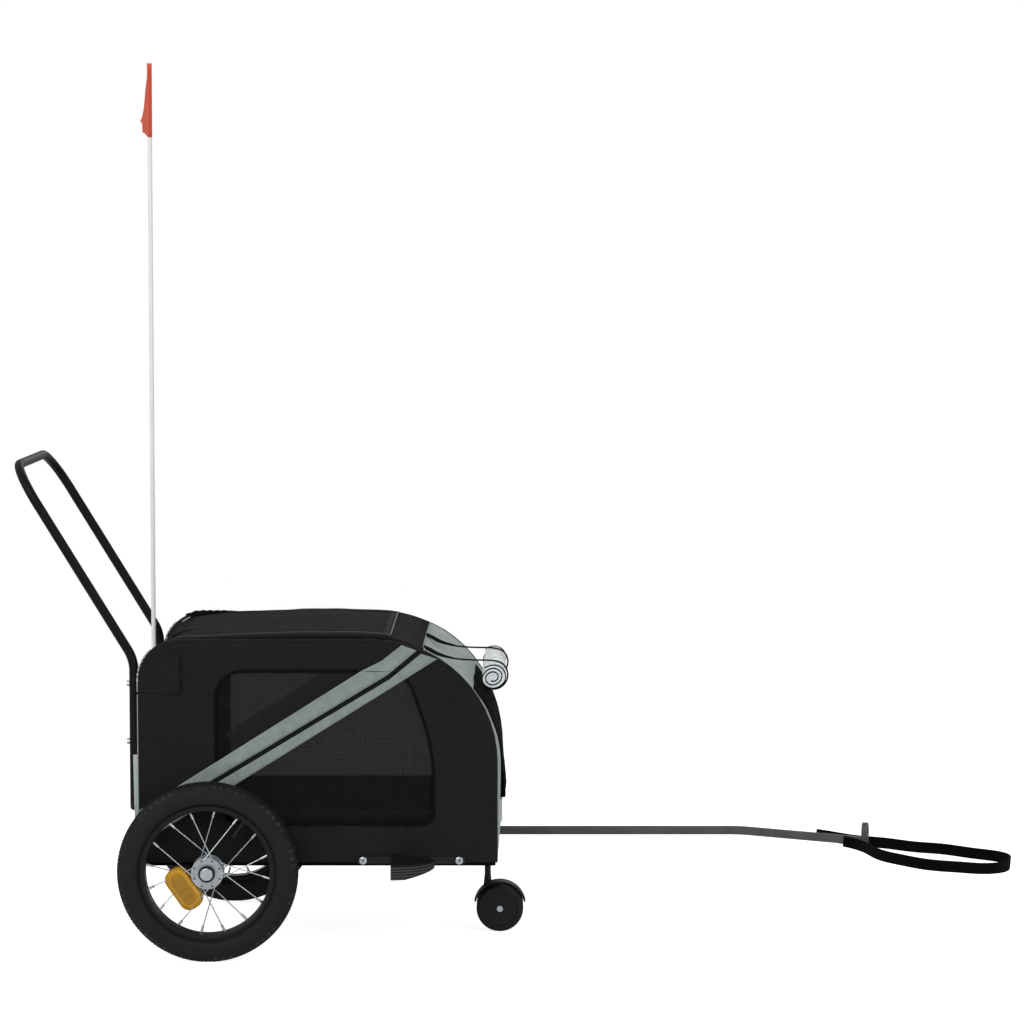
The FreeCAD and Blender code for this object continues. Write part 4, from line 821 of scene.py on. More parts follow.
def make_side(side, sign):
    """One side of the cabin: panel, window, piping, rear flap, stripes, patches, gathers and stitches."""
    size = sizes()
    bm = sheet_of(SIDE_OUTLINE, [WINDOW_OUTLINE])
    area = flat_area(bm)
    panel = piece(f"side_cloth_{side}", lay_on_side(bm, sign, 0), "black_cloth", "chassis")
    thicken(panel, size.cloth)
    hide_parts(f"side_panel_{side}")
    make_window(side, sign)
    rim = side_points(outline_points(SIDE_OUTLINE), sign, -0.001)
    # The piping round the panel is painted lighter, as a highlight along its edges.
    tube(f"panel_piping_{side}", rim, size.piping, "edge_cloth_painted_highlight", "chassis", True)
    bm = lay_on_side(sheet_of(REAR_FLAP, cell=FLAP_CELL), sign, -0.0027)
    thicken(piece(f"rear_flap_{side}", bm, "grey_cloth", "chassis"), 0.0008)
    for name, upper, lower, material, lift, slot in SASHES:
        strip = piece(f"{name}_{side}", side_ribbon(upper, lower, 90, sign, lift), material, "chassis")
        thicken(strip, SASH_CLOTH)
    inner = [[along_points(line, share / 20).xz for share in range(5, 17)] for line in (SASH_TOP, SASH_LOW)]
    lining = side_ribbon(*inner, 40, sign, -0.0038)
    # The lining's inner side carries the faint painted glow of its finish.
    piece(f"sash_back_{side}", lining, "sash_lining", "chassis")
    for name, corners in (("rear_patch", REAR_PATCH), ("front_patch", FRONT_PATCH)):
        bm = lay_on_side(sheet_of(corners), sign, 0.0011)
        for vert in bm.verts:
            vert.co.y += sign * patch_gape(vert.co.x)
        patch = piece(f"{name}_{side}", bm, "black_cloth", "chassis")
        thicken(patch, PATCH_CLOTH)
    make_gathers(side, sign)
    make_side_stitches(side, sign)


def patch_gape(x):
    """How far the rear patch stands off the panel towards its loose front edge."""
    return 0.0045 * max(0.0, min(1.0, (x + 0.61) / 0.027)) if x < -0.5 else 0.0


def make_window(side, sign):
    """A window: its net, a dark strip behind the net's lower edge as painted shade of the cabin's inside, and
    the cord round it, thick and near black, partly painted shade of the seam.
    """
    bm = sheet_of(grown_outline(WINDOW_OUTLINE, NET_MARGIN))
    area = flat_area(bm)
    net = piece(f"window_net_{side}", lay_on_side(bm, sign, -0.0026), f"window_net_{side}", "chassis")
    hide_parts(f"window_mesh_{side}")
    # Painted shade: the dark strip of binding behind the net's lower edge stands in for the dark inside of
    # the cabin.
    hem = piece(f"window_shade_band_{side}", lay_on_side(sheet_of(WINDOW_SHADE_BAND), sign, -0.0036), "binding", "chassis")
    thicken(hem, 0.001)
    # The cord is thick and near black: the real piping, with the shade of its recessed seam painted in.
    edge = side_points(outline_points(WINDOW_OUTLINE), sign, 0.0002)
    cord = tube(f"window_piping_{side}", edge, sizes().window_piping, "cord_black", "chassis", True)


def make_gathers(side, sign):
    """Gathered cloth that shows along the panel's rear edge and up the bend."""
    edge = [Vector((REAR, 0, 0.452 + step * 0.0035)) for step in range(6)]
    straight = len(edge)
    for step in range(20):
        turn = step * GATHER_STEP
        x, z = REAR + REAR_ROUND * (1 - math.cos(turn)), TOP - REAR_ROUND * (1 - math.sin(turn))
        edge.append(Vector((x, 0, z)))
    waves = [1 + 0.45 * math.sin(index * 2.3) * (index >= straight) for index in range(len(edge))]
    path = [Vector((p.x - 0.0012, sign * (SIDE_FACE - 0.0022), p.z + 0.0006)) for p in edge]
    tube(f"rear_gathers_{side}", path, 0.0021, "grey_cloth", "chassis", shares=waves)


def make_side_stitches(side, sign):
    """Stitches round the panel, the window and the patches, and along the stripes."""
    out = (0, sign, 0)
    rows = []
    for corners, margin in ((SIDE_OUTLINE, -0.0095), (WINDOW_OUTLINE, 0.006)):
        points = outline_points(grown_outline(corners, margin))
        rows.append((side_points(points + points[:1], sign, 0.0002), out))
    for corners in (REAR_PATCH, FRONT_PATCH):
        middle = Vector((sum(c[0] for c in corners), 0, sum(c[1] for c in corners))) / len(corners)
        points = [Vector((x, 0, z)).lerp(middle, PATCH_SEAM) for x, z in corners]
        rows.append((side_points(points + points[:1], sign, 0.0013), out))
    stitches(f"side_stitches_{side}", rows, "thread", "chassis")
    rows = []
    for line, other, share in SASH_SEAMS:
        points = [along_points(line, t / 60).lerp(along_points(other, t / 60), share) for t in range(61)]
        rows.append((side_points(points, sign, SASH_STITCHES_LIFT), out))
    stitches(f"sash_stitches_{side}", rows, "grey_thread", "chassis")


TIE_Y = 0.097
TIE_ROUTE = ((-0.1615, 0.511), (-0.142, 0.4995), (-0.12, 0.4945), (-0.09, 0.492), (-0.0403, 0.4918),
             (-0.0255, 0.477), (-0.0255, 0.456), (-0.0403, 0.4412), (-0.0613, 0.4412), (-0.068, 0.446))
TIE_SLEEVE = ((-0.172, 0.5155), (-0.1615, 0.511), (-0.152, 0.505), (-0.142, 0.501), (-0.131, 0.4978),
              (-0.12, 0.4955))
TIE_SLEEVE_SHARES = (1.0, 1.0, 1.0, 0.9, 0.65, 0.5)
RUN_BACK = TOP - REAR_ROUND - HEM
ARC_BACK = REAR_ROUND * math.pi / 2
RUN_TOP = FRONT - REAR - REAR_ROUND - FRONT_ROUND
ARC_FRONT = FRONT_ROUND * math.pi / 2
RUN_FRONT = TOP - FRONT_ROUND - HEM
SKIN_ENDS = (RUN_BACK, RUN_BACK + ARC_BACK, RUN_BACK + ARC_BACK + RUN_TOP,
             RUN_BACK + ARC_BACK + RUN_TOP + ARC_FRONT)
SKIN_LENGTH = SKIN_ENDS[3] + RUN_FRONT


def on_skin(s, lift=0.0):
    """A place on the cabin's strip of cloth, s along it from the rear hem over the roof to the front hem."""
    if s < SKIN_ENDS[0]:
        return Vector((REAR - lift, 0, HEM + s))
    if s < SKIN_ENDS[1]:
        angle = math.pi - (s - SKIN_ENDS[0]) / REAR_ROUND
        out = Vector((math.cos(angle), 0, math.sin(angle)))
        return Vector((REAR + REAR_ROUND, 0, TOP - REAR_ROUND)) + out * (REAR_ROUND + lift)
    if s < SKIN_ENDS[2]:
        return Vector((REAR + REAR_ROUND + s - SKIN_ENDS[1], 0, TOP + lift))
    if s < SKIN_ENDS[3]:
        angle = math.pi / 2 - (s - SKIN_ENDS[2]) / FRONT_ROUND
        out = Vector((math.cos(angle), 0, math.sin(angle)))
        return Vector((FRONT - FRONT_ROUND, 0, TOP - FRONT_ROUND)) + out * (FRONT_ROUND + lift)
    return Vector((FRONT + lift, 0, TOP - FRONT_ROUND - (s - SKIN_ENDS[3])))


def skin_at_x(x):
    """How far along the strip of cloth the roof reaches a given x."""
    if x < FRONT - FRONT_ROUND:
        return SKIN_ENDS[1] + x - REAR - REAR_ROUND
    return SKIN_ENDS[2] + FRONT_ROUND * math.asin((x - FRONT + FRONT_ROUND) / FRONT_ROUND)


def skin_at_z(z):
    """How far along the strip of cloth the front reaches a given height."""
    low = TOP - FRONT_ROUND
    if z < low:
        return SKIN_ENDS[3] + low - z
    return SKIN_ENDS[3] - FRONT_ROUND * math.asin((z - low) / FRONT_ROUND)


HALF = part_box("roof_panel")[1].y
HOOP_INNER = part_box("hoop_left")[0].y - 0.002
ROOF_START = SKIN_ENDS[0] + 0.03
ROOF_END = skin_at_x(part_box("roof_panel")[1].x)
DOOR_HEM = 0.026
HATCH = (skin_at_x(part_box("roof_hatch")[0].x), skin_at_x(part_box("roof_hatch")[1].x),
         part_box("roof_hatch")[1].y)
DOOR = (skin_at_z(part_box("front_door")[1].z), skin_at_z(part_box("front_door")[0].z + DOOR_HEM),
        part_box("front_door")[1].y)
BULGE_START = skin_at_z(0.44)


def hump(share):
    """Half a sine wave over the shares from 0 to 1."""
    return math.sin(math.pi * share) if 0 < share < 1 else 0.0


def skin_swell(s, y):
    """Slack of the strip of cloth: a crowned roof, dips at its two ends, and a front and back that swell."""
    size = sizes()
    across = max(0.0, 1 - (y / HALF) ** 2)
    between = max(0.0, 1 - (y / HOOP_INNER) ** 2) ** 0.5
    over_roof = max(0.0, (s - ROOF_START) / (ROOF_END + 0.02 - ROOF_START))
    down_front = (s - BULGE_START) / (SKIN_LENGTH + 0.01 - BULGE_START)
    roof = size.roof_crown * across ** 0.25 * hump(over_roof ** 1.4)
    dip = size.front_dip * between * math.exp(-((s - ROOF_END - 0.028) / 0.06) ** 2)
    dip += size.rear_dip * between * math.exp(-((s - SKIN_ENDS[0] - 0.055) / 0.035) ** 2)
    front = size.front_bulge * across ** 0.4 * hump(down_front) ** 0.8
    back = size.rear_bulge * max(0.0, 1 - (y / 0.2) ** 2) * hump(s / 0.33)
    waves = ripple(s, y, 11, 5.5) * 0.0022 + ripple(s, y, 32, 9.2) * 0.0008
    return roof - dip + front + back + waves * min(1.0, across * 4)


def door_lift(s):
    """How far the door stands off the panel: nothing at its hinge, most at its lower edge."""
    share = max(0.0, (s - DOOR[0]) / (DOOR[1] - DOOR[0]))
    return sizes().door_flare * share ** 3


def skin_point(s, y, lift=0.0):
    """A point of the slack cloth, lifted off it by a length or by a function of s."""
    rise = lift(s) if callable(lift) else lift
    place = on_skin(s, skin_swell(s, y) + rise)
    return Vector((place.x, y, place.z))


ZIP_GAP = 0.0006
STEP_WIDTH = 0.0001
PLACKET = 0.006
PLACKET_DROP = 0.003
SKIN_CELL = 0.006


def depth_in(hole, spot):
    """How far inside a rectangular opening a flat place lies."""
    first, last, wide = hole
    return min(spot.x - first, last - spot.x, wide - abs(spot.y))


def band(name, start, end, half, material, body, node, hole=None, lift=0.0):
    """A panel of the strip of cloth; an opening keeps a narrow placket below the piece that fills it."""
    size = sizes()
    bm = bmesh.new()
    bmesh.ops.create_grid(bm, x_segments=round((end - start) / size.cell),
                          y_segments=round(2 * half / size.cell), size=1)
    for vert in bm.verts:
        vert.co.x = start + (vert.co.x + 1) / 2 * (end - start)
        vert.co.y *= half
    if hole:
        first, last, wide = hole
        for inset in (-ZIP_GAP, -STEP_WIDTH, PLACKET):
            for place, normal in (((first + inset, 0, 0), (1, 0, 0)), ((last - inset, 0, 0), (1, 0, 0)),
                                  ((0, wide - inset, 0), (0, 1, 0)), ((0, inset - wide, 0), (0, 1, 0))):
                whole = bm.verts[:] + bm.edges[:] + bm.faces[:]
                bmesh.ops.bisect_plane(bm, geom=whole, plane_co=place, plane_no=normal)
        inside = [face for face in bm.faces if depth_in(hole, face.calc_center_median()) > PLACKET]
        bmesh.ops.delete(bm, geom=inside, context="FACES")
    area = flat_area(bm)
    flat_map(bm, lambda spot: spot.xy)
    for vert in bm.verts:
        below = PLACKET_DROP if hole and depth_in(hole, vert.co) > -2 * STEP_WIDTH else 0
        rise = lift(vert.co.x) if callable(lift) else lift
        vert.co = skin_point(vert.co.x, vert.co.y, rise - below)
    made = thicken(piece(name, bm, material, body), size.cloth)
    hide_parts(node)
    end - start
    half * 2
    min(area, (end - start) * half * 2)


def skin_line(spots, lift):
    """Points on the strip of cloth along a broken line of (s, y)."""
    points = []
    for (s0, y0), (s1, y1) in zip(spots, spots[1:]):
        count = max(2, round(math.hypot(s1 - s0, y1 - y0) / SKIN_CELL))
        points += [skin_point(s0 + (s1 - s0) * t / count, y0 + (y1 - y0) * t / count, lift)
                   for t in range(count)]
    return points + [skin_point(*spots[-1], lift)]


def strip_on_skin(name, start, end, y_low, y_high, lift, material, body, thickness, slot):
    """A tape sewn on the strip of cloth."""
    bm = bmesh.new()
    bmesh.ops.create_grid(bm, x_segments=max(2, round((end - start) / SKIN_CELL)),
                          y_segments=max(2, round((y_high - y_low) / SKIN_CELL)), size=1)
    for vert in bm.verts:
        vert.co.x = start + (vert.co.x + 1) / 2 * (end - start)
        vert.co.y = y_low + (vert.co.y + 1) / 2 * (y_high - y_low)
    flat_map(bm, lambda spot: spot.xy)
    for vert in bm.verts:
        vert.co = skin_point(vert.co.x, vert.co.y, lift)
    thicken(piece(name, bm, material, body), thickness)


def door_wall(name, start, end):
    """The door's turned-in edge, from its face down to the panel."""
    bm = bmesh.new()
    bmesh.ops.create_grid(bm, x_segments=36, y_segments=2, size=1)
    flat_map(bm, lambda spot: (spot.x * 0.1, spot.y * 0.004))
    for vert in bm.verts:
        along, depth = (vert.co.x + 1) / 2, (vert.co.y + 1) / 2
        s, y = (first + (last - first) * along for first, last in zip(start, end))
        vert.co = skin_point(s, y, door_lift(s) * depth - 0.0016 * (1 - depth))
    bm.normal_update()
    thicken(piece(name, bm, "door_cloth", "front_door"), 0.0008, 0.0)


TAPE = 0.012
TAPE_CLOTH = 0.0008
ZIP_MARGIN = 0.002
BORDER = 0.026
BORDER_CLOTH = 0.0012
WALL_INSET = 0.0004
HEADER_TOP = 0.453
STITCH_LIFT = 0.0004


def door_edge_lift(s):
    """How far the door's border lies off the panel."""
    return door_lift(s) + BORDER_CLOTH


def way_out(spot):
    """The way out of the cloth on the roof and the front."""
    return Vector((0, 0, 1)) if spot.z > TOP - 0.06 else Vector((1, 0, 0))


def rear_way_out(spot):
    """The way out of the cloth on the rear panel and the bend above it."""
    return Vector((-1, 0, 0)) if spot.z < TOP - 0.07 else Vector((-0.6, 0, 0.8))


def tape(name, start, end, y_first, y_last, body):
    """A binding tape beside a zip."""
    strip_on_skin(name, start, end, *sorted((y_first, y_last)), TAPE_CLOTH, "binding", body, TAPE_CLOTH,
                  "fabric_black")


def door_edge(name, start, end, y_first, y_last):
    """One run of the door's border."""
    strip_on_skin(name, start, end, *sorted((y_first, y_last)), door_edge_lift, "door_cloth", "front_door",
                  BORDER_CLOTH, "fabric_black")


def make_bands():
    """Rear panel, roof with its hatch, and front panel with its door."""
    first, last, wide = HATCH
    top, low, span = DOOR
    band("rear_cloth", 0, ROOF_START, HALF, "grey_cloth", "chassis", "rear_panel")
    band("roof_cloth_painted_shade", ROOF_START, ROOF_END, HALF, "roof_cloth_painted_shade", "chassis", "roof_panel",
         HATCH)
    band("hatch_cloth", first, last, wide, "roof_cloth_painted_shade", "roof_hatch", "roof_hatch")
    band("front_cloth", ROOF_END, SKIN_LENGTH, HALF, "grey_cloth", "chassis", "front_panel",
         DOOR)
    # The door's net is painted darker, as shade on the front.
    band("door_net_painted_shade", top, low, span, "door_net_painted_shade", "front_door", "front_door", lift=door_lift)


def make_tapes():
    """Tapes along the zips of the hatch and the door, the door's border and walls, and its header."""
    first, last, wide = HATCH
    top, low, span = DOOR
    inner, outer = wide - ZIP_MARGIN, wide + ZIP_MARGIN
    for side, sign in SIDES:
        tape(f"hatch_tape_{side}", first, last, sign * inner, sign * (inner - TAPE), "roof_hatch")
        tape(f"roof_tape_{side}", first, last, sign * outer, sign * (outer + TAPE), "chassis")
        door_edge(f"door_edge_{side}", top, low, sign * (span - 0.001), sign * (span - BORDER))
        wall = sign * (span - WALL_INSET)
        door_wall(f"door_wall_{side}", (top, wall), (low - WALL_INSET, wall))
        tape(f"door_tape_{side}", top, low, sign * (span + 0.003), sign * (span + 0.013), "chassis")
    end = last - ZIP_MARGIN
    tape("hatch_tape_front", end - TAPE, end, TAPE - inner, inner - TAPE, "roof_hatch")
    door_edge("door_edge_low", low - BORDER, low - 0.001, BORDER - span, span - BORDER)
    door_edge("door_edge_top", top + 0.001, top + BORDER, BORDER - span, span - BORDER)
    door_wall("door_wall_low", (low - WALL_INSET, -span), (low - WALL_INSET, span))
    strip_on_skin("door_header", skin_at_z(HEADER_TOP), top - 0.001, -span - 0.012, span + 0.012, 0.001,
                  "door_cloth", "chassis", 0.001, "fabric_black")


def make_seams():
    """Zip teeth of the hatch, stitches along the panels, the ties' sleeves and the roof's front seam."""
    first, last, wide = HATCH
    row = wide - 0.0016
    lines = [[(first, sign * row), (last, sign * row)] for _, sign in SIDES]
    lines.append([(last - 0.0016, -wide + 0.01), (last - 0.0016, wide - 0.01)])
    teeth = [(skin_line(line, 0.0012), way_out) for line in lines]
    stitches("hatch_teeth", teeth, "zip_metal", "roof_hatch", long=0.0022, wide=0.0028, tall=0.0014,
                     gap=0.0012)
    lines = [[(s, -HALF + 0.01), (s, HALF - 0.01)] for s in (ROOF_START + 0.005, ROOF_END - 0.005)]
    rows = [(skin_line(line, STITCH_LIFT), way_out) for line in lines]
    stitches("roof_stitches", rows, "thread", "chassis")
    rows = []
    for _, sign in SIDES:
        y = sign * (HALF - 0.008)
        rows.append((skin_line([(ROOF_END + 0.006, y), (SKIN_LENGTH - 0.01, y)], STITCH_LIFT), way_out))
        rows.append((skin_line([(0.01, y), (ROOF_START - 0.006, y)], STITCH_LIFT), rear_way_out))
    stitches("panel_stitches", rows, "grey_thread", "chassis")
    for side, sign in SIDES:
        sleeve = [Vector((x, sign * TIE_Y, z)) for x, z in TIE_SLEEVE]
        tube(f"tie_sleeve_{side}", sleeve, 0.0034, "binding", "chassis", smooth=True, sides=12,
                     shares=TIE_SLEEVE_SHARES)
    seam = skin_line([(ROOF_END, -HALF + 0.002), (ROOF_END, HALF - 0.002)], 0.0002)
    tube("roof_seam", seam, 0.0012, "grey_cloth", "chassis")


ROOF_FOLD = SKIN_ENDS[0] + 1.29 * REAR_ROUND
# The near hem is a thin near-black cord: painted shadow of a crease in the roof's edge.
ROOF_HEMS = (("far", 0.14, 0.212, 0.088, 0.0072, "roof_cloth_painted_shade"),
             ("near", -0.15, -0.067, 0.044, 0.0023, "cord_black"))
HEM_STEPS = 40


def make_roof_edges():
    """The roof's loose rear edge: two rolled hems, the far one with stitches and a dark cord along its crease
    as painted shadow, the near one thin and near black as painted shadow of a crease, and a binding.
    """
    for name, y_first, y_last, run, thick, material in ROOF_HEMS:
        points, crease_shadows, shares = [], [], []
        for index in range(HEM_STEPS + 1):
            share = index / HEM_STEPS
            full = (1 - share) ** 0.8
            s, y = ROOF_FOLD + run * share, y_first + (y_last - y_first) * share
            points.append(skin_point(s, y, thick * full * 0.5 - 0.0006))
            crease_shadows.append(skin_point(s + 0.003, y - thick * full * 0.95, 0.0006))
            shares.append((full + 0.12) * (1 + 0.1 * math.sin(share * 46)))
        shares[0] = 0.5
        hem = tube(f"roof_hem_{name}", points, thick, material, "chassis", sides=16, shares=shares)
        if name == "far":
            # Painted shadow: a thin dark cord along the far hem's crease.
            crease = tube("roof_hem_crease_shadow", crease_shadows, 0.0019, "cord_black", "chassis", shares=shares)
            ridge = [point + Vector((0, -0.003, thick * share)) for point, share in zip(points, shares)]
            rows = [(ridge[4:], (0, -0.3, 1))]
            sewn = stitches("roof_hem_stitches", rows, "cord_black", "chassis", wide=0.0016, tall=0.001)
    points = skin_line([(ROOF_START, -HALF + 0.004), (ROOF_START, HALF - 0.004)], 0.0006)
    tube("roof_binding", points, 0.002, "roof_cloth_painted_shade", "chassis")


PULL_RING = 0.0042
PULL_WIRE = 0.0011
PULL_TAB = (0.007, 0.008, 0.0018)


def make_zip_pull():
    """The zip's pull on the roof's rear edge: a wire ring with a flat tab."""
    bm = bmesh.new()
    verts = bmesh.ops.create_circle(bm, segments=10, radius=PULL_WIRE)["verts"]
    bmesh.ops.rotate(bm, verts=verts, matrix=Matrix.Rotation(math.pi / 2, 3, "X"))
    bmesh.ops.translate(bm, verts=verts, vec=(PULL_RING, 0, 0))
    bmesh.ops.spin(bm, geom=bm.verts[:] + bm.edges[:], cent=(0, 0, 0), axis=(0, 0, 1), angle=2 * math.pi,
                   steps=20, use_merge=True)
    place = Matrix.Translation((-0.0075, 0, 0)) @ Matrix.Diagonal((*PULL_TAB, 1))
    tab = bmesh.ops.create_cube(bm, size=1, matrix=place)
    edges = list({edge for vert in tab["verts"] for edge in vert.link_edges})
    bmesh.ops.bevel(bm, geom=edges, offset=0.0006, offset_type="OFFSET", segments=2, profile=0.5,
                    affect="EDGES", material=-1)
    bmesh.ops.remove_doubles(bm, verts=bm.verts[:], dist=WELD)
    bmesh.ops.recalc_face_normals(bm, faces=bm.faces[:])
    spot = skin_point(ROOF_FOLD + 0.003, 0.118, 0.0044)
    place = Matrix.Translation(spot) @ Matrix.Rotation(-0.5, 4, "Y")
    bmesh.ops.transform(bm, verts=bm.verts[:], matrix=place)
    piece("zip_pull", bm, "zinc_plate", "chassis")


ROLL_RADIUS = 0.0232
ROLL_PITCH = 0.0062
ROLL_TURNS = 2.7
FILM = 0.0007
FILM_EDGE = 0.004
FILM_EDGE_CLOTH = 0.002


def spiral(centre, share, y):
    """A place in the rolled film, share along it from its outer end."""
    angle = -share * ROLL_TURNS * 2 * math.pi + 2.3
    reach = ROLL_RADIUS - share * ROLL_TURNS * ROLL_PITCH
    reach *= 1 + 0.06 * math.sin(2 * angle + 0.6) + 0.05 * ripple(angle, y * 6, 0.9, 2.2)
    return Vector((centre.x + reach * math.cos(angle), centre.y + y, centre.z + reach * math.sin(angle)))


def rolled(name, centre, y_low, y_high, cells, thickness, material):
    """A band of the rolled cover, and its area."""
    wide = y_high - y_low
    bm = bmesh.new()
    bmesh.ops.create_grid(bm, x_segments=150, y_segments=cells, size=1)
    flat_map(bm, lambda spot: ((spot.x + 1) * 0.16, (spot.y + 1) / 2 * wide))
    for vert in bm.verts:
        vert.co = spiral(centre, (vert.co.x + 1) / 2, y_low + (vert.co.y + 1) / 2 * wide)
    area = flat_area(bm)
    made = thicken(piece(name, bm, material, "chassis"), thickness, 0.0)
    return made, area


def make_rain_cover():
    """The clear cover rolled up in front, with its bound edges, and the two elastic ties."""
    low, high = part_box("rain_cover_roll")
    centre = (low + high) / 2
    half = (high.y - low.y) / 2
    inner = half - FILM_EDGE
    film_roll, area = rolled("rain_film", centre, -inner, inner, 40, FILM, "clear_film")
    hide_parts("rain_cover_roll")
    for side, sign in SIDES:
        y_low, y_high = sorted((sign * half, sign * inner))
        edge, _ = rolled(f"film_edge_{side}", centre, y_low, y_high, 2, FILM_EDGE_CLOTH, "cord_black")
    wide = 2 * inner
    area / wide
    for side, sign in SIDES:
        points = [Vector((x, sign * TIE_Y, z)) for x, z in TIE_ROUTE]
        line, run = spline_through(f"cover_tie_{side}", points)
        run.resolution_u = 8
        for spot in run.points:
            spot.radius = sizes().tie_width / 2
        line.bevel_depth = 1  # The points hold the cord's radius, so the curve's box is the cord's own.
        line.bevel_resolution = 3
        line.use_fill_caps = True
        line.materials.append(finish("elastic"))
        tie = holder_of(f"cover_tie_{side}", line)
        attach(tie, "chassis")
        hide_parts("cover_ties")
        tuple(points[0])
        curve_length(tie)


def curve_length(holder):
    """The length of a curve's own line."""
    depth, holder.data.bevel_depth = holder.data.bevel_depth, 0
    mesh = mesh_of(holder)
    holder.data.bevel_depth = depth
    spots = [vert.co for vert in mesh.vertices]
    total = sum((spots[edge.vertices[0]] - spots[edge.vertices[1]]).length for edge in mesh.edges)
    bpy.data.meshes.remove(mesh)
    return total


MAT_INSET = 0.012
MAT_CHANNELS = 5
MAT_SWELL = 0.004
SWELL_FRAMES = 20


def make_mat():
    """The padded floor mat: a crowned pad with sewn channels."""
    low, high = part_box("floor_mat")
    size = high - low
    bm = bmesh.new()
    bmesh.ops.create_cube(bm, size=1)
    block = Matrix.Diagonal((size.x - MAT_INSET, size.y - MAT_INSET, size.z - 0.004, 1))
    place = Matrix.Translation((low + high) / 2 - Vector((0, 0, 0.0015)))
    bmesh.ops.transform(bm, verts=bm.verts[:], matrix=place @ block)
    upright = [edge for edge in bm.edges if abs(edge.verts[0].co.z - edge.verts[1].co.z) > 0.001]
    bmesh.ops.bevel(bm, geom=upright, offset=0.025, offset_type="OFFSET", segments=6, profile=0.5,
                    affect="EDGES", material=-1)
    start = solid_of("mat_start", bm)
    remesh = start.modifiers.new("voxels", "REMESH")
    remesh.mode = "VOXEL"
    remesh.voxel_size = 0.0055
    soft = mesh_of(start)
    bpy.data.objects.remove(start)
    rest = [vert.co.copy() for vert in soft.vertices]
    pad = piece("mat_pad", soft, "mat_cloth", "chassis")
    swell(pad, rest, MAT_SWELL)
    for vert, home in zip(pad.data.vertices, rest):
        along = (home.x - low.x) / size.x * MAT_CHANNELS
        channel = min(abs(along - line) for line in range(1, MAT_CHANNELS))
        if home.z > (low.z + high.z) / 2:
            vert.co.z -= 0.003 * math.exp(-(channel / 0.05) ** 2)
        vert.co.z = max(vert.co.z, low.z + 0.0002)
    smooth = pad.modifiers.new("smooth", "SUBSURF")
    smooth.levels = smooth.render_levels = 1
    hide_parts("floor_mat")


def swell(pad, rest, cap):
    """Blows a pad up as cloth under a light pressure, and limits how far each point moves."""
    scene = bpy.context.scene
    cloth = pad.modifiers.new("cloth", "CLOTH")
    cloth.settings.use_pressure = True
    cloth.settings.uniform_pressure_force = 4
    cloth.settings.effector_weights.gravity = 0
    cloth.point_cache.frame_start = 1
    cloth.point_cache.frame_end = SWELL_FRAMES
    for step in range(1, SWELL_FRAMES + 1):
        scene.frame_set(step)
    grown = pad.evaluated_get(bpy.context.evaluated_depsgraph_get()).to_mesh()
    moved = [vert.co.copy() for vert in grown.vertices]
    pad.modifiers.remove(cloth)
    scene.frame_set(1)
    for vert, home, spot in zip(pad.data.vertices, rest, moved):
        step = spot - home
        vert.co = home + step * min(1.0, cap / max(step.length, 1e-9))


FLAG_DROP = 0.109
FLAG_RISE = 0.0026
FLAG_OFF_POLE = 0.003
SLEEVE_RADIUS = 0.0046
SLEEVE_STEPS = 8
SLEEVE_PINCH = 1.03


def make_flag():
    """The pennant on its pole: a light waved sheet on a sleeve, with stitches beside it."""
    low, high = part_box("flag_pennant")
    pole_low, pole_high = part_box("flag_pole")
    x, y = (pole_low.x + pole_high.x) / 2, (pole_low.y + pole_high.y) / 2
    top, hoist, fly = high.z, high.z - low.z, y - low.y
    bm = bmesh.new()
    bmesh.ops.create_grid(bm, x_segments=36, y_segments=24, size=1)

    def spot(share, up):
        upper, lower = top - FLAG_DROP * share, top - hoist + FLAG_RISE * share
        level = lower + (upper - lower) * up
        below = min(1.0, (1 - up) / 0.3)
        curl = 0.005 * share ** 3 * (1 - share ** 8) + 0.003 * share ** 2 * below * below * (3 - 2 * below)
        wave = math.sin(share * 9 + up * 2) * 0.0005 * share
        return Vector((x + curl + wave, y - FLAG_OFF_POLE - share * (fly - FLAG_OFF_POLE), level))

    def flat_spot(at):
        share, up = (at.x + 1) / 2, (at.y + 1) / 2
        return share * fly, spot(share, up).z - low.z

    flat_map(bm, flat_spot)
    for vert in bm.verts:
        vert.co = spot((vert.co.x + 1) / 2, (vert.co.y + 1) / 2)
    bmesh.ops.recalc_face_normals(bm, faces=bm.faces[:])
    area = flat_area(bm)
    pennant = thicken(piece("pennant", bm, "flag_nylon", "flag"), 0.0006, 0.0)
    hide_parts("flag_pennant")
    bm = bmesh.new()
    rim = bmesh.ops.create_circle(bm, segments=24, radius=SLEEVE_RADIUS)["verts"]
    bmesh.ops.translate(bm, verts=rim, vec=(x, y, top - hoist))
    edges = bm.edges[:]
    for level in range(SLEEVE_STEPS):
        grown = bmesh.ops.extrude_edge_only(bm, edges=edges)
        edges, rise = edges_of(grown), verts_of(grown)
        bmesh.ops.translate(bm, verts=rise, vec=(0, 0, hoist / SLEEVE_STEPS))
        pinch = SLEEVE_PINCH if level % 2 else 1 / SLEEVE_PINCH
        bmesh.ops.scale(bm, verts=rise, vec=(pinch, pinch, 1), space=Matrix.Translation((-x, -y, 0)))
    flat_map(bm, lambda at: (math.atan2(at.y - y, at.x - x) * 0.005, at.z))
    bmesh.ops.recalc_face_normals(bm, faces=bm.faces[:])
    sleeve = thicken(piece("flag_sleeve", bm, "flag_nylon", "flag"), 0.0005)
    rows = [([spot(0.06, t / 30) + Vector((-0.0006, 0, 0)) for t in range(31)], (-1, 0, 0)),
            ([spot(0.06, t / 30) + Vector((0.0006, 0, 0)) for t in range(31)], (1, 0, 0))]
    stitches("flag_stitches", rows, "flag_nylon", "flag")


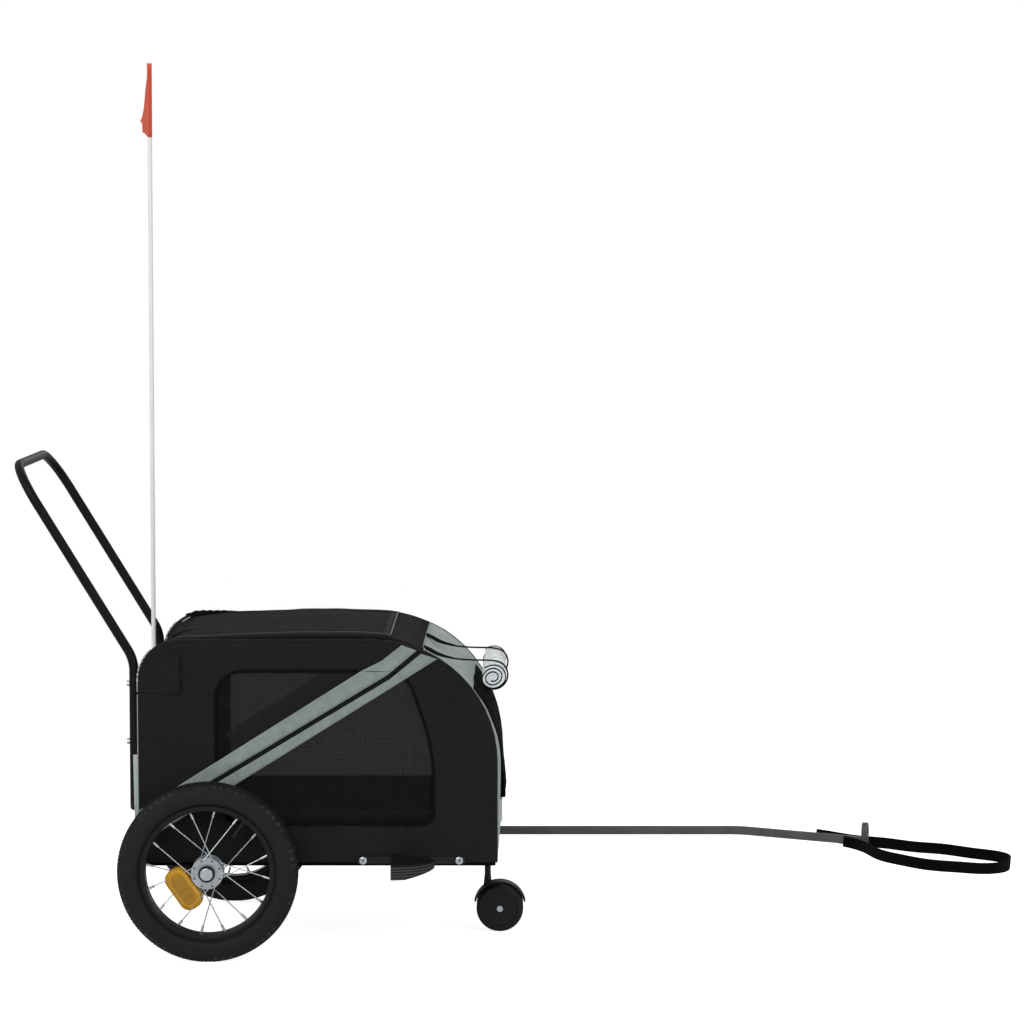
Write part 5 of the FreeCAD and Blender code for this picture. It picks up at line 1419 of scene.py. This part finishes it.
STRAP_ROUTE = ((0.578, 0.086), (0.602, 0.0729), (0.637, -0.062), (0.757, -0.112), (0.8685, -0.04),
               (0.8685, 0.088), (0.582, 0.1055), (0.533, 0.1324))
STRAP_ENDS = ((STRAP_ROUTE[0], Vector((24, -13.1, 0))), (STRAP_ROUTE[-1], Vector((49, -26.9, 0))))
STRAP_ROWS = 4
STRAP_PIVOT = Vector((0.616, 0, 0.14))
STRAP_TILT = math.radians(5.14)


def make_strap():
    """The safety strap: one band of webbing on edge, with sewn ends against the tow bar."""
    size = sizes()
    turn = (Matrix.Translation(STRAP_PIVOT) @ Matrix.Rotation(STRAP_TILT, 4, "Y")
            @ Matrix.Translation((-STRAP_PIVOT.x, 0, 0)))
    line, run = spline_through("strap_line", [(x, y, 0) for x, y in STRAP_ROUTE])
    run.resolution_u = 24
    holder = holder_of("strap_line", line)
    mesh = mesh_of(holder)
    bpy.data.objects.remove(holder)
    points = [vert.co.copy() for vert in mesh.vertices]
    bm = bmesh.new()
    verts = [bm.verts.new((point.x, point.y, -size.strap_width / 2)) for point in points]
    edges = [bm.edges.new(pair) for pair in zip(verts, verts[1:])]
    for _ in range(STRAP_ROWS):
        grown = bmesh.ops.extrude_edge_only(bm, edges=edges)
        rise = verts_of(grown)
        edges = [edge for edge in edges_of(grown) if edge.verts[0] in rise and edge.verts[1] in rise]
        bmesh.ops.translate(bm, verts=rise, vec=(0, 0, size.strap_width / STRAP_ROWS))
    walked = [0.0]
    for start, end in zip(points, points[1:]):
        walked.append(walked[-1] + (end - start).length)
    reach = {(round(point.x, 6), round(point.y, 6)): way for point, way in zip(points, walked)}
    flat_map(bm, lambda spot: (reach[(round(spot.x, 6), round(spot.y, 6))], spot.z))
    for vert in bm.verts:
        vert.co.z += 0.0006 * math.sin(vert.co.x * 60) + 0.0008 * math.sin(vert.co.y * 45)
    bmesh.ops.transform(bm, verts=bm.verts[:], matrix=turn)
    bmesh.ops.recalc_face_normals(bm, faces=bm.faces[:])
    strap = thicken(piece("strap_webbing", bm, "strap_web", "tow_arm"), size.strap_thickness, 0.0)
    edge = strap.modifiers.new("edge", "BEVEL")
    edge.width = 0.0006
    edge.segments = 2
    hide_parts("safety_strap")
    bm = bmesh.new()
    stitch = Matrix.Diagonal((0.0028, 0.0007, 0.0008, 1))
    for (x, y), way in STRAP_ENDS:
        ahead = way.normalized()
        side = Vector((-ahead.y, ahead.x, 0))
        lie = Matrix((ahead, side, (0, 0, 1))).transposed().to_4x4()
        for row in (-0.0065, 0.0065):
            for index in range(5):
                spot = Vector((x, y, row)) + ahead * (0.004 + index * 0.004)
                for face in (1, -1):
                    place = Matrix.Translation(spot + side * face * 0.0014)
                    bmesh.ops.create_cube(bm, size=1, matrix=turn @ place @ lie @ stitch)
    piece("strap_stitches", bm, "thread", "tow_arm")


TREAD_ROWS = ((0.0, 0.0, 0.0042, 0.0095, 0.0), (0.0105, 0.5, 0.0042, 0.0085, 0.36),
              (-0.0105, 0.5, 0.0042, 0.0085, -0.36))
SHOULDER_ROWS = ((0.0164, 0.0, 0.0068, 0.0072, 0.78), (-0.0164, 0.0, 0.0068, 0.0072, -0.78))
TREADS = (("tread", TREAD_ROWS, 1, "tyre_rubber"), ("tread_shoulders", SHOULDER_ROWS, 2, "tread_highlight"))


def make_tyres():
    """Rows of tread blocks and a valve on each tyre."""
    for side, _ in SIDES:
        low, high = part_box(f"tyre_{side}")
        centre = (low + high) / 2
        radius, half = (high.z - low.z) / 2, (high.y - low.y) / 2
        for name, rows, every, material in TREADS:
            bm = bmesh.new()
            for row in rows:
                tread_row(bm, centre, shoulder(row[0], half, radius), row, sizes().tread_count // every)
            bmesh.ops.recalc_face_normals(bm, faces=bm.faces[:])
            piece(f"{name}_{side}", bm, material, f"wheel_{side}", sharp=30)
        make_valve(side, centre)


def tread_row(bm, centre, out, row, count):
    """One row of blocks round the tyre: its place across, shift, block's length and width, and lean."""
    across, shift, long, wide, lean = row
    tall = sizes().tread_height
    step = 2 * math.pi / sizes().tread_count
    place = (Matrix.Translation(centre) @ Matrix.Rotation(step * shift, 4, "Y")
             @ Matrix.Translation((0, across, out + 0.001 - tall * 0.8)) @ Matrix.Rotation(-lean, 4, "X")
             @ Matrix.Diagonal((long, wide, tall * 1.6, 1)))
    made = bmesh.ops.create_cube(bm, size=1, matrix=place)["verts"]
    top = [vert for vert in made if (place.inverted() @ vert.co).z > 0]
    bmesh.ops.scale(bm, verts=top, vec=(0.86, 0.9, 1), space=Matrix.Translation(-centre))
    edges = list({edge for vert in made for edge in vert.link_edges})
    faces = list({face for vert in made for face in vert.link_faces})
    bmesh.ops.spin(bm, geom=made + edges + faces, cent=centre, axis=(0, 1, 0),
                   angle=2 * math.pi * (1 - 1 / count), steps=count - 1, use_duplicate=True)


def shoulder(across, half, radius):
    """Radius of the tyre's tread at a place across it."""
    corner = 0.019
    flat = half - corner
    over = max(0.0, abs(across) - flat)
    return radius - corner + math.sqrt(max(0.0, corner ** 2 - over ** 2))


VALVE_PROFILE = ((0.1052, 0.0042), (0.0975, 0.0042), (0.0955, 0.003), (0.082, 0.003), (0.0805, 0.0036),
                 (0.0735, 0.0036), (0.0725, 0.003), (0.0722, 0.0))
VALVE_TURN = math.radians(36)


def make_valve(side, centre):
    """The rubber valve stem with its cap, pointing at the hub."""
    bm = bmesh.new()
    verts = [bm.verts.new((radius, 0, reach)) for reach, radius in VALVE_PROFILE]
    edges = [bm.edges.new(pair) for pair in zip(verts, verts[1:])]
    bmesh.ops.spin(bm, geom=verts + edges, cent=(0, 0, 0), axis=(0, 0, 1), angle=2 * math.pi, steps=16,
                   use_merge=True)
    bmesh.ops.remove_doubles(bm, verts=bm.verts[:], dist=0.00005)
    bmesh.ops.transform(bm, verts=bm.verts[:],
                        matrix=Matrix.Translation(centre) @ Matrix.Rotation(VALVE_TURN, 4, "Y"))
    bmesh.ops.recalc_face_normals(bm, faces=bm.faces[:])
    piece(f"valve_{side}", bm, "black_plastic", f"wheel_{side}")


LENS_CORNERS = ((-1, -1), (1, -1), (1, 1), (-1, 1))
LENS_REACH = 0.049
LENS_SLOPE = 0.19
LENS_TURN = math.radians(305)
LENS_HALVES = (0.037, 0.02)
WINDOW_HALVES = (0.0285, 0.0122)


def lens_top(z, below=0.0):
    """How far out the outer lens stands, to clear the spokes at a place along the radius."""
    return 0.0205 - (-z - 0.028) * LENS_SLOPE - below


def lens_outline(long, wide, corner):
    """A rounded rectangle at the reflector's place along the radius."""
    return [(x * long, -LENS_REACH + z * wide, corner) for x, z in LENS_CORNERS]


def raised(outline, levels):
    """An outline stood up in steps: each is an inset and its rim's height at a place along the radius."""
    part = bmesh.new()
    polygon(part, outline)
    top = max(part.faces, key=lambda item: item.calc_area())
    for inset, height in levels:
        if inset:
            bmesh.ops.inset_region(part, faces=[top], thickness=inset)
        else:
            grown = bmesh.ops.extrude_face_region(part, geom=[top])["geom"]
            part.faces.remove(top)
            top = [item for item in grown if isinstance(item, bmesh.types.BMFace)][0]
        for vert in top.verts:
            vert.co.y = height(vert.co.z)
    return part


def make_lens(side, sign, centre):
    """The reflector's faces: a bevelled outer lens with a framed window, and a flat inner panel."""
    low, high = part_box(f"wheel_reflector_{side}")
    half = (high.y - low.y) / 2
    place = Matrix.Translation(centre) @ Matrix.Rotation(-LENS_TURN, 4, "Y")
    outer = raised(lens_outline(*LENS_HALVES, 0.0185),
                   ((0, lambda z: lens_top(z, 0.0055)), (0.006, lens_top),
                    (0.0015, lambda z: lens_top(z, 0.0012))))
    window = raised(lens_outline(*WINDOW_HALVES, 0.0105),
                    ((0, lambda z: lens_top(z, 0.0008)), (0.0012, lambda z: lens_top(z, 0.0003))))
    tilt = Matrix.Rotation(-LENS_SLOPE, 4, "X") @ Matrix.Diagonal((0.0014, 0.0016, 0.0225, 1))
    for index in (-1, 0, 1):
        bar = Matrix.Translation((index * 0.014, lens_top(-LENS_REACH), -LENS_REACH))
        bmesh.ops.create_cube(window, size=1, matrix=bar @ tilt)
    inner = raised(lens_outline(*LENS_HALVES, 0.0165),
                   ((0, lambda z: half + 0.0012), (0.0035, lambda z: half + 0.0012),
                    (0.0012, lambda z: half + 0.0026)))
    for name, part, material, facing in (("reflector_lens", outer, "amber_lens", sign),
                                         ("reflector_window", window, "amber_window", sign),
                                         ("reflector_back", inner, "amber_lens", -sign)):
        bmesh.ops.transform(part, verts=part.verts[:], matrix=place @ Matrix.Diagonal((1, facing, 1, 1)))
        bmesh.ops.recalc_face_normals(part, faces=part.faces[:])
        if sum(face.normal.y * face.calc_area() for face in part.faces) * facing < 0:
            bmesh.ops.reverse_faces(part, faces=part.faces[:])
        piece(f"{name}_{side}", part, material, f"wheel_{side}", sharp=25)


BOLT_X = (-0.272, -0.108)
BOLT_Z = 0.164
BOLT_RADIUS = 0.0065
RECESS_TURN = 0.6
EYELETS = 8
EYELET_CIRCLE = 0.023
FLANGE_FACE = 0.0181
FLANGE_SHIFT = 0.39


def make_hardware():
    """Domes of the rails' screws with dark crosses painted as the shade in their recesses, the hubs' eyelets
    and the reflectors' faces.
    """
    face = abs(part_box("frame_bolts")[0].y)
    heads = [(x, sign) for x in BOLT_X for _, sign in SIDES]
    bm = bmesh.new()
    for x, sign in heads:
        verts = bmesh.ops.create_uvsphere(bm, u_segments=24, v_segments=10, radius=BOLT_RADIUS)["verts"]
        bmesh.ops.scale(bm, verts=verts, vec=(1, 0.22, 1))
        bmesh.ops.translate(bm, verts=verts, vec=(x, sign * (face - 0.0002), BOLT_Z))
    piece("bolt_domes", bm, "bright_steel", "chassis")
    bm = bmesh.new()
    # Painted shade: thin dark bars on each dome stand in for the shade inside a cross recess.
    for x, sign in heads:
        for turn in (RECESS_TURN, RECESS_TURN + math.pi / 2):
            place = (Matrix.Translation((x, sign * (face + 0.0011), BOLT_Z)) @ Matrix.Rotation(turn, 4, "Y")
                     @ Matrix.Diagonal((0.0062, 0.0006, 0.0012, 1)))
            bmesh.ops.create_cube(bm, size=1, matrix=place)
    piece("bolt_recess_shade", bm, "zip_metal", "chassis")
    for side, sign in SIDES:
        centre = middle_of(f"hub_{side}")
        make_lens(side, sign, centre)
        bm = bmesh.new()
        for index in range(EYELETS):
            for out in (1, -1):
                angle = 2 * math.pi / EYELETS * index + (FLANGE_SHIFT if out < 0 else 0)
                x, z = EYELET_CIRCLE * math.cos(angle), EYELET_CIRCLE * math.sin(angle)
                place = Matrix.Translation(centre + Vector((x, out * FLANGE_FACE, z)))
                facing = Matrix.Rotation(-out * math.pi / 2, 4, "X")
                bmesh.ops.create_cone(bm, segments=12, radius1=0.0021, radius2=0.0016, depth=0.0012,
                                      cap_ends=True, matrix=place @ facing)
        piece(f"hub_eyelets_{side}", bm, "zip_metal", f"wheel_{side}")


# Stage


LAMPS = (("key", (-1.6, -3.6, 2.6), 62, 2.4), ("fill", (2.6, -2.8, 1.6), 28, 2.0),
         ("top", (0.0, 0.4, 4.0), 10, 3.0), ("back", (0.6, 3.4, 2.4), 14, 2.0),
         ("rear", (-3.6, -1.4, 1.8), 20, 1.6))
LAMP_TARGET = Vector((-0.2, 0, 0.35))
CAMERA_PLACE = (-0.018, -5.9946, 1.1841)
CAMERA_TILT = 4.21
WORLD_LIGHT = 0.42


def make_stage():
    """Floor, soft lights, white surroundings and the camera."""
    bm = bmesh.new()
    bmesh.ops.create_grid(bm, x_segments=4, y_segments=4, size=3)
    bmesh.ops.translate(bm, verts=bm.verts[:], vec=(0, 0, -0.0005))
    floor = solid_of("studio_floor", bm)
    made = Finish("studio_floor")
    across, along, _ = made.axes(made.place())
    reach = (across * across + along * along).root()
    seen = made.node("ShaderNodeLightPath", output="Is Camera Ray")
    made.done(Base_Color=(0.8, 0.8, 0.8, 1), Roughness=0.9, Specular_IOR_Level=0.0,
              Emission_Color=made.mix(seen, (0.12, 0.12, 0.12, 1), (0.84, 0.84, 0.84, 1)),
              Emission_Strength=1.0, Alpha=reach.ramp(1.5, 2.6, 1.0, 0.0))
    floor.data.materials.append(made.material)
    world = bpy.data.worlds.new("studio")
    bpy.context.scene.world = world
    world.use_nodes = True
    tree = world.node_tree
    tree.nodes.clear()
    path = tree.nodes.new("ShaderNodeLightPath")
    seen = tree.nodes.new("ShaderNodeMath")
    seen.operation = "MAXIMUM"
    tree.links.new(path.outputs["Is Camera Ray"], seen.inputs[0])
    tree.links.new(path.outputs["Is Transmission Ray"], seen.inputs[1])
    soft = tree.nodes.new("ShaderNodeBackground")
    soft.inputs[0].default_value = (1, 1, 1, 1)
    soft.inputs[1].default_value = WORLD_LIGHT
    white = tree.nodes.new("ShaderNodeBackground")
    white.inputs[0].default_value = (1, 1, 1, 1)
    white.inputs[1].default_value = 1.0
    both = tree.nodes.new("ShaderNodeMixShader")
    tree.links.new(seen.outputs[0], both.inputs[0])
    tree.links.new(soft.outputs[0], both.inputs[1])
    tree.links.new(white.outputs[0], both.inputs[2])
    output = tree.nodes.new("ShaderNodeOutputWorld")
    tree.links.new(both.outputs[0], output.inputs[0])
    for name, spot, power, size in LAMPS:
        light = bpy.data.lights.new(name, "AREA")
        light.energy = power
        light.size = size
        lamp = holder_of(name, light)
        lamp.location = spot
        lamp.rotation_euler = (LAMP_TARGET - Vector(spot)).to_track_quat("-Z", "Y").to_euler()
    data = bpy.data.cameras.new("camera")
    data.lens = 120
    data.sensor_width = 36
    data.clip_end = 100
    camera = holder_of("camera", data)
    camera.location = CAMERA_PLACE
    camera.rotation_euler = (math.radians(90 - CAMERA_TILT), 0, 0)
    bpy.context.scene.camera = camera
    bpy.context.scene.view_settings.view_transform = "Standard"


# Operators


class TRAILER_OT_finishes(bpy.types.Operator):
    """Makes the finishes and gives the solid model's pieces theirs"""
    bl_idname = "trailer.finishes"
    bl_label = "Finishes"

    def execute(self, context):
        make_finishes()
        for name, nodes in NODE_FINISHES.items():
            for node in nodes:
                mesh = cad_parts[node].data
                mesh.materials.clear()
                mesh.materials.append(finish(name))
        return {"FINISHED"}


class TRAILER_OT_sides(bpy.types.Operator):
    """Makes both cloth sides with their windows and stripes"""
    bl_idname = "trailer.sides"
    bl_label = "Cloth Sides"

    def execute(self, context):
        for side, sign in SIDES:
            make_side(side, sign)
        return {"FINISHED"}


class TRAILER_OT_bands(bpy.types.Operator):
    """Makes the rear, the roof with its hatch, and the front with its door"""
    bl_idname = "trailer.bands"
    bl_label = "Roof, Front and Rear"

    def execute(self, context):
        make_bands()
        make_tapes()
        make_seams()
        make_roof_edges()
        make_zip_pull()
        return {"FINISHED"}


class TRAILER_OT_rain_cover(bpy.types.Operator):
    """Makes the rolled rain cover and its ties"""
    bl_idname = "trailer.rain_cover"
    bl_label = "Rain Cover"

    def execute(self, context):
        make_rain_cover()
        return {"FINISHED"}


class TRAILER_OT_mat(bpy.types.Operator):
    """Makes the padded floor mat"""
    bl_idname = "trailer.mat"
    bl_label = "Floor Mat"

    def execute(self, context):
        make_mat()
        return {"FINISHED"}


class TRAILER_OT_flag(bpy.types.Operator):
    """Makes the pennant"""
    bl_idname = "trailer.flag"
    bl_label = "Flag"

    def execute(self, context):
        make_flag()
        return {"FINISHED"}


class TRAILER_OT_strap(bpy.types.Operator):
    """Makes the safety strap"""
    bl_idname = "trailer.strap"
    bl_label = "Safety Strap"

    def execute(self, context):
        make_strap()
        return {"FINISHED"}


class TRAILER_OT_tyres(bpy.types.Operator):
    """Makes the tread blocks and valves"""
    bl_idname = "trailer.tyres"
    bl_label = "Tyre Tread"

    def execute(self, context):
        make_tyres()
        return {"FINISHED"}


class TRAILER_OT_hardware(bpy.types.Operator):
    """Makes the small hardware"""
    bl_idname = "trailer.hardware"
    bl_label = "Hardware"

    def execute(self, context):
        make_hardware()
        return {"FINISHED"}


class TRAILER_OT_stage(bpy.types.Operator):
    """Makes the floor, the lights and the camera"""
    bl_idname = "trailer.stage"
    bl_label = "Stage"

    def execute(self, context):
        make_stage()
        return {"FINISHED"}


STEPS = (TRAILER_OT_finishes, TRAILER_OT_stage, TRAILER_OT_rain_cover, TRAILER_OT_sides, TRAILER_OT_bands,
         TRAILER_OT_mat, TRAILER_OT_flag, TRAILER_OT_strap, TRAILER_OT_tyres, TRAILER_OT_hardware)


class TRAILER_PT_panel(bpy.types.Panel):
    """Lists the trailer's pieces"""
    bl_idname = "TRAILER_PT_panel"
    bl_label = "Dog Bike Trailer"
    bl_space_type = "VIEW_3D"
    bl_region_type = "UI"
    bl_category = "Trailer"

    def draw(self, context):
        for step in STEPS:
            self.layout.operator(step.bl_idname)
        for group in (context.scene.trailer_sizes, context.scene.trailer_colours):
            for name in group.__annotations__:
                self.layout.prop(group, name)


CLASSES = (TrailerSizes, TrailerColours, *STEPS, TRAILER_PT_panel)


def register():
    for item in CLASSES:
        bpy.utils.register_class(item)
    bpy.types.Scene.trailer_sizes = PointerProperty(type=TrailerSizes)
    bpy.types.Scene.trailer_colours = PointerProperty(type=TrailerColours)


def unregister():
    del bpy.types.Scene.trailer_colours
    del bpy.types.Scene.trailer_sizes
    for item in reversed(CLASSES):
        bpy.utils.unregister_class(item)


def main():
    register()
    for step in STEPS:
        group, name = step.bl_idname.split(".")
        getattr(getattr(bpy.ops, group), name)()


if __name__ == "__main__":
    main()
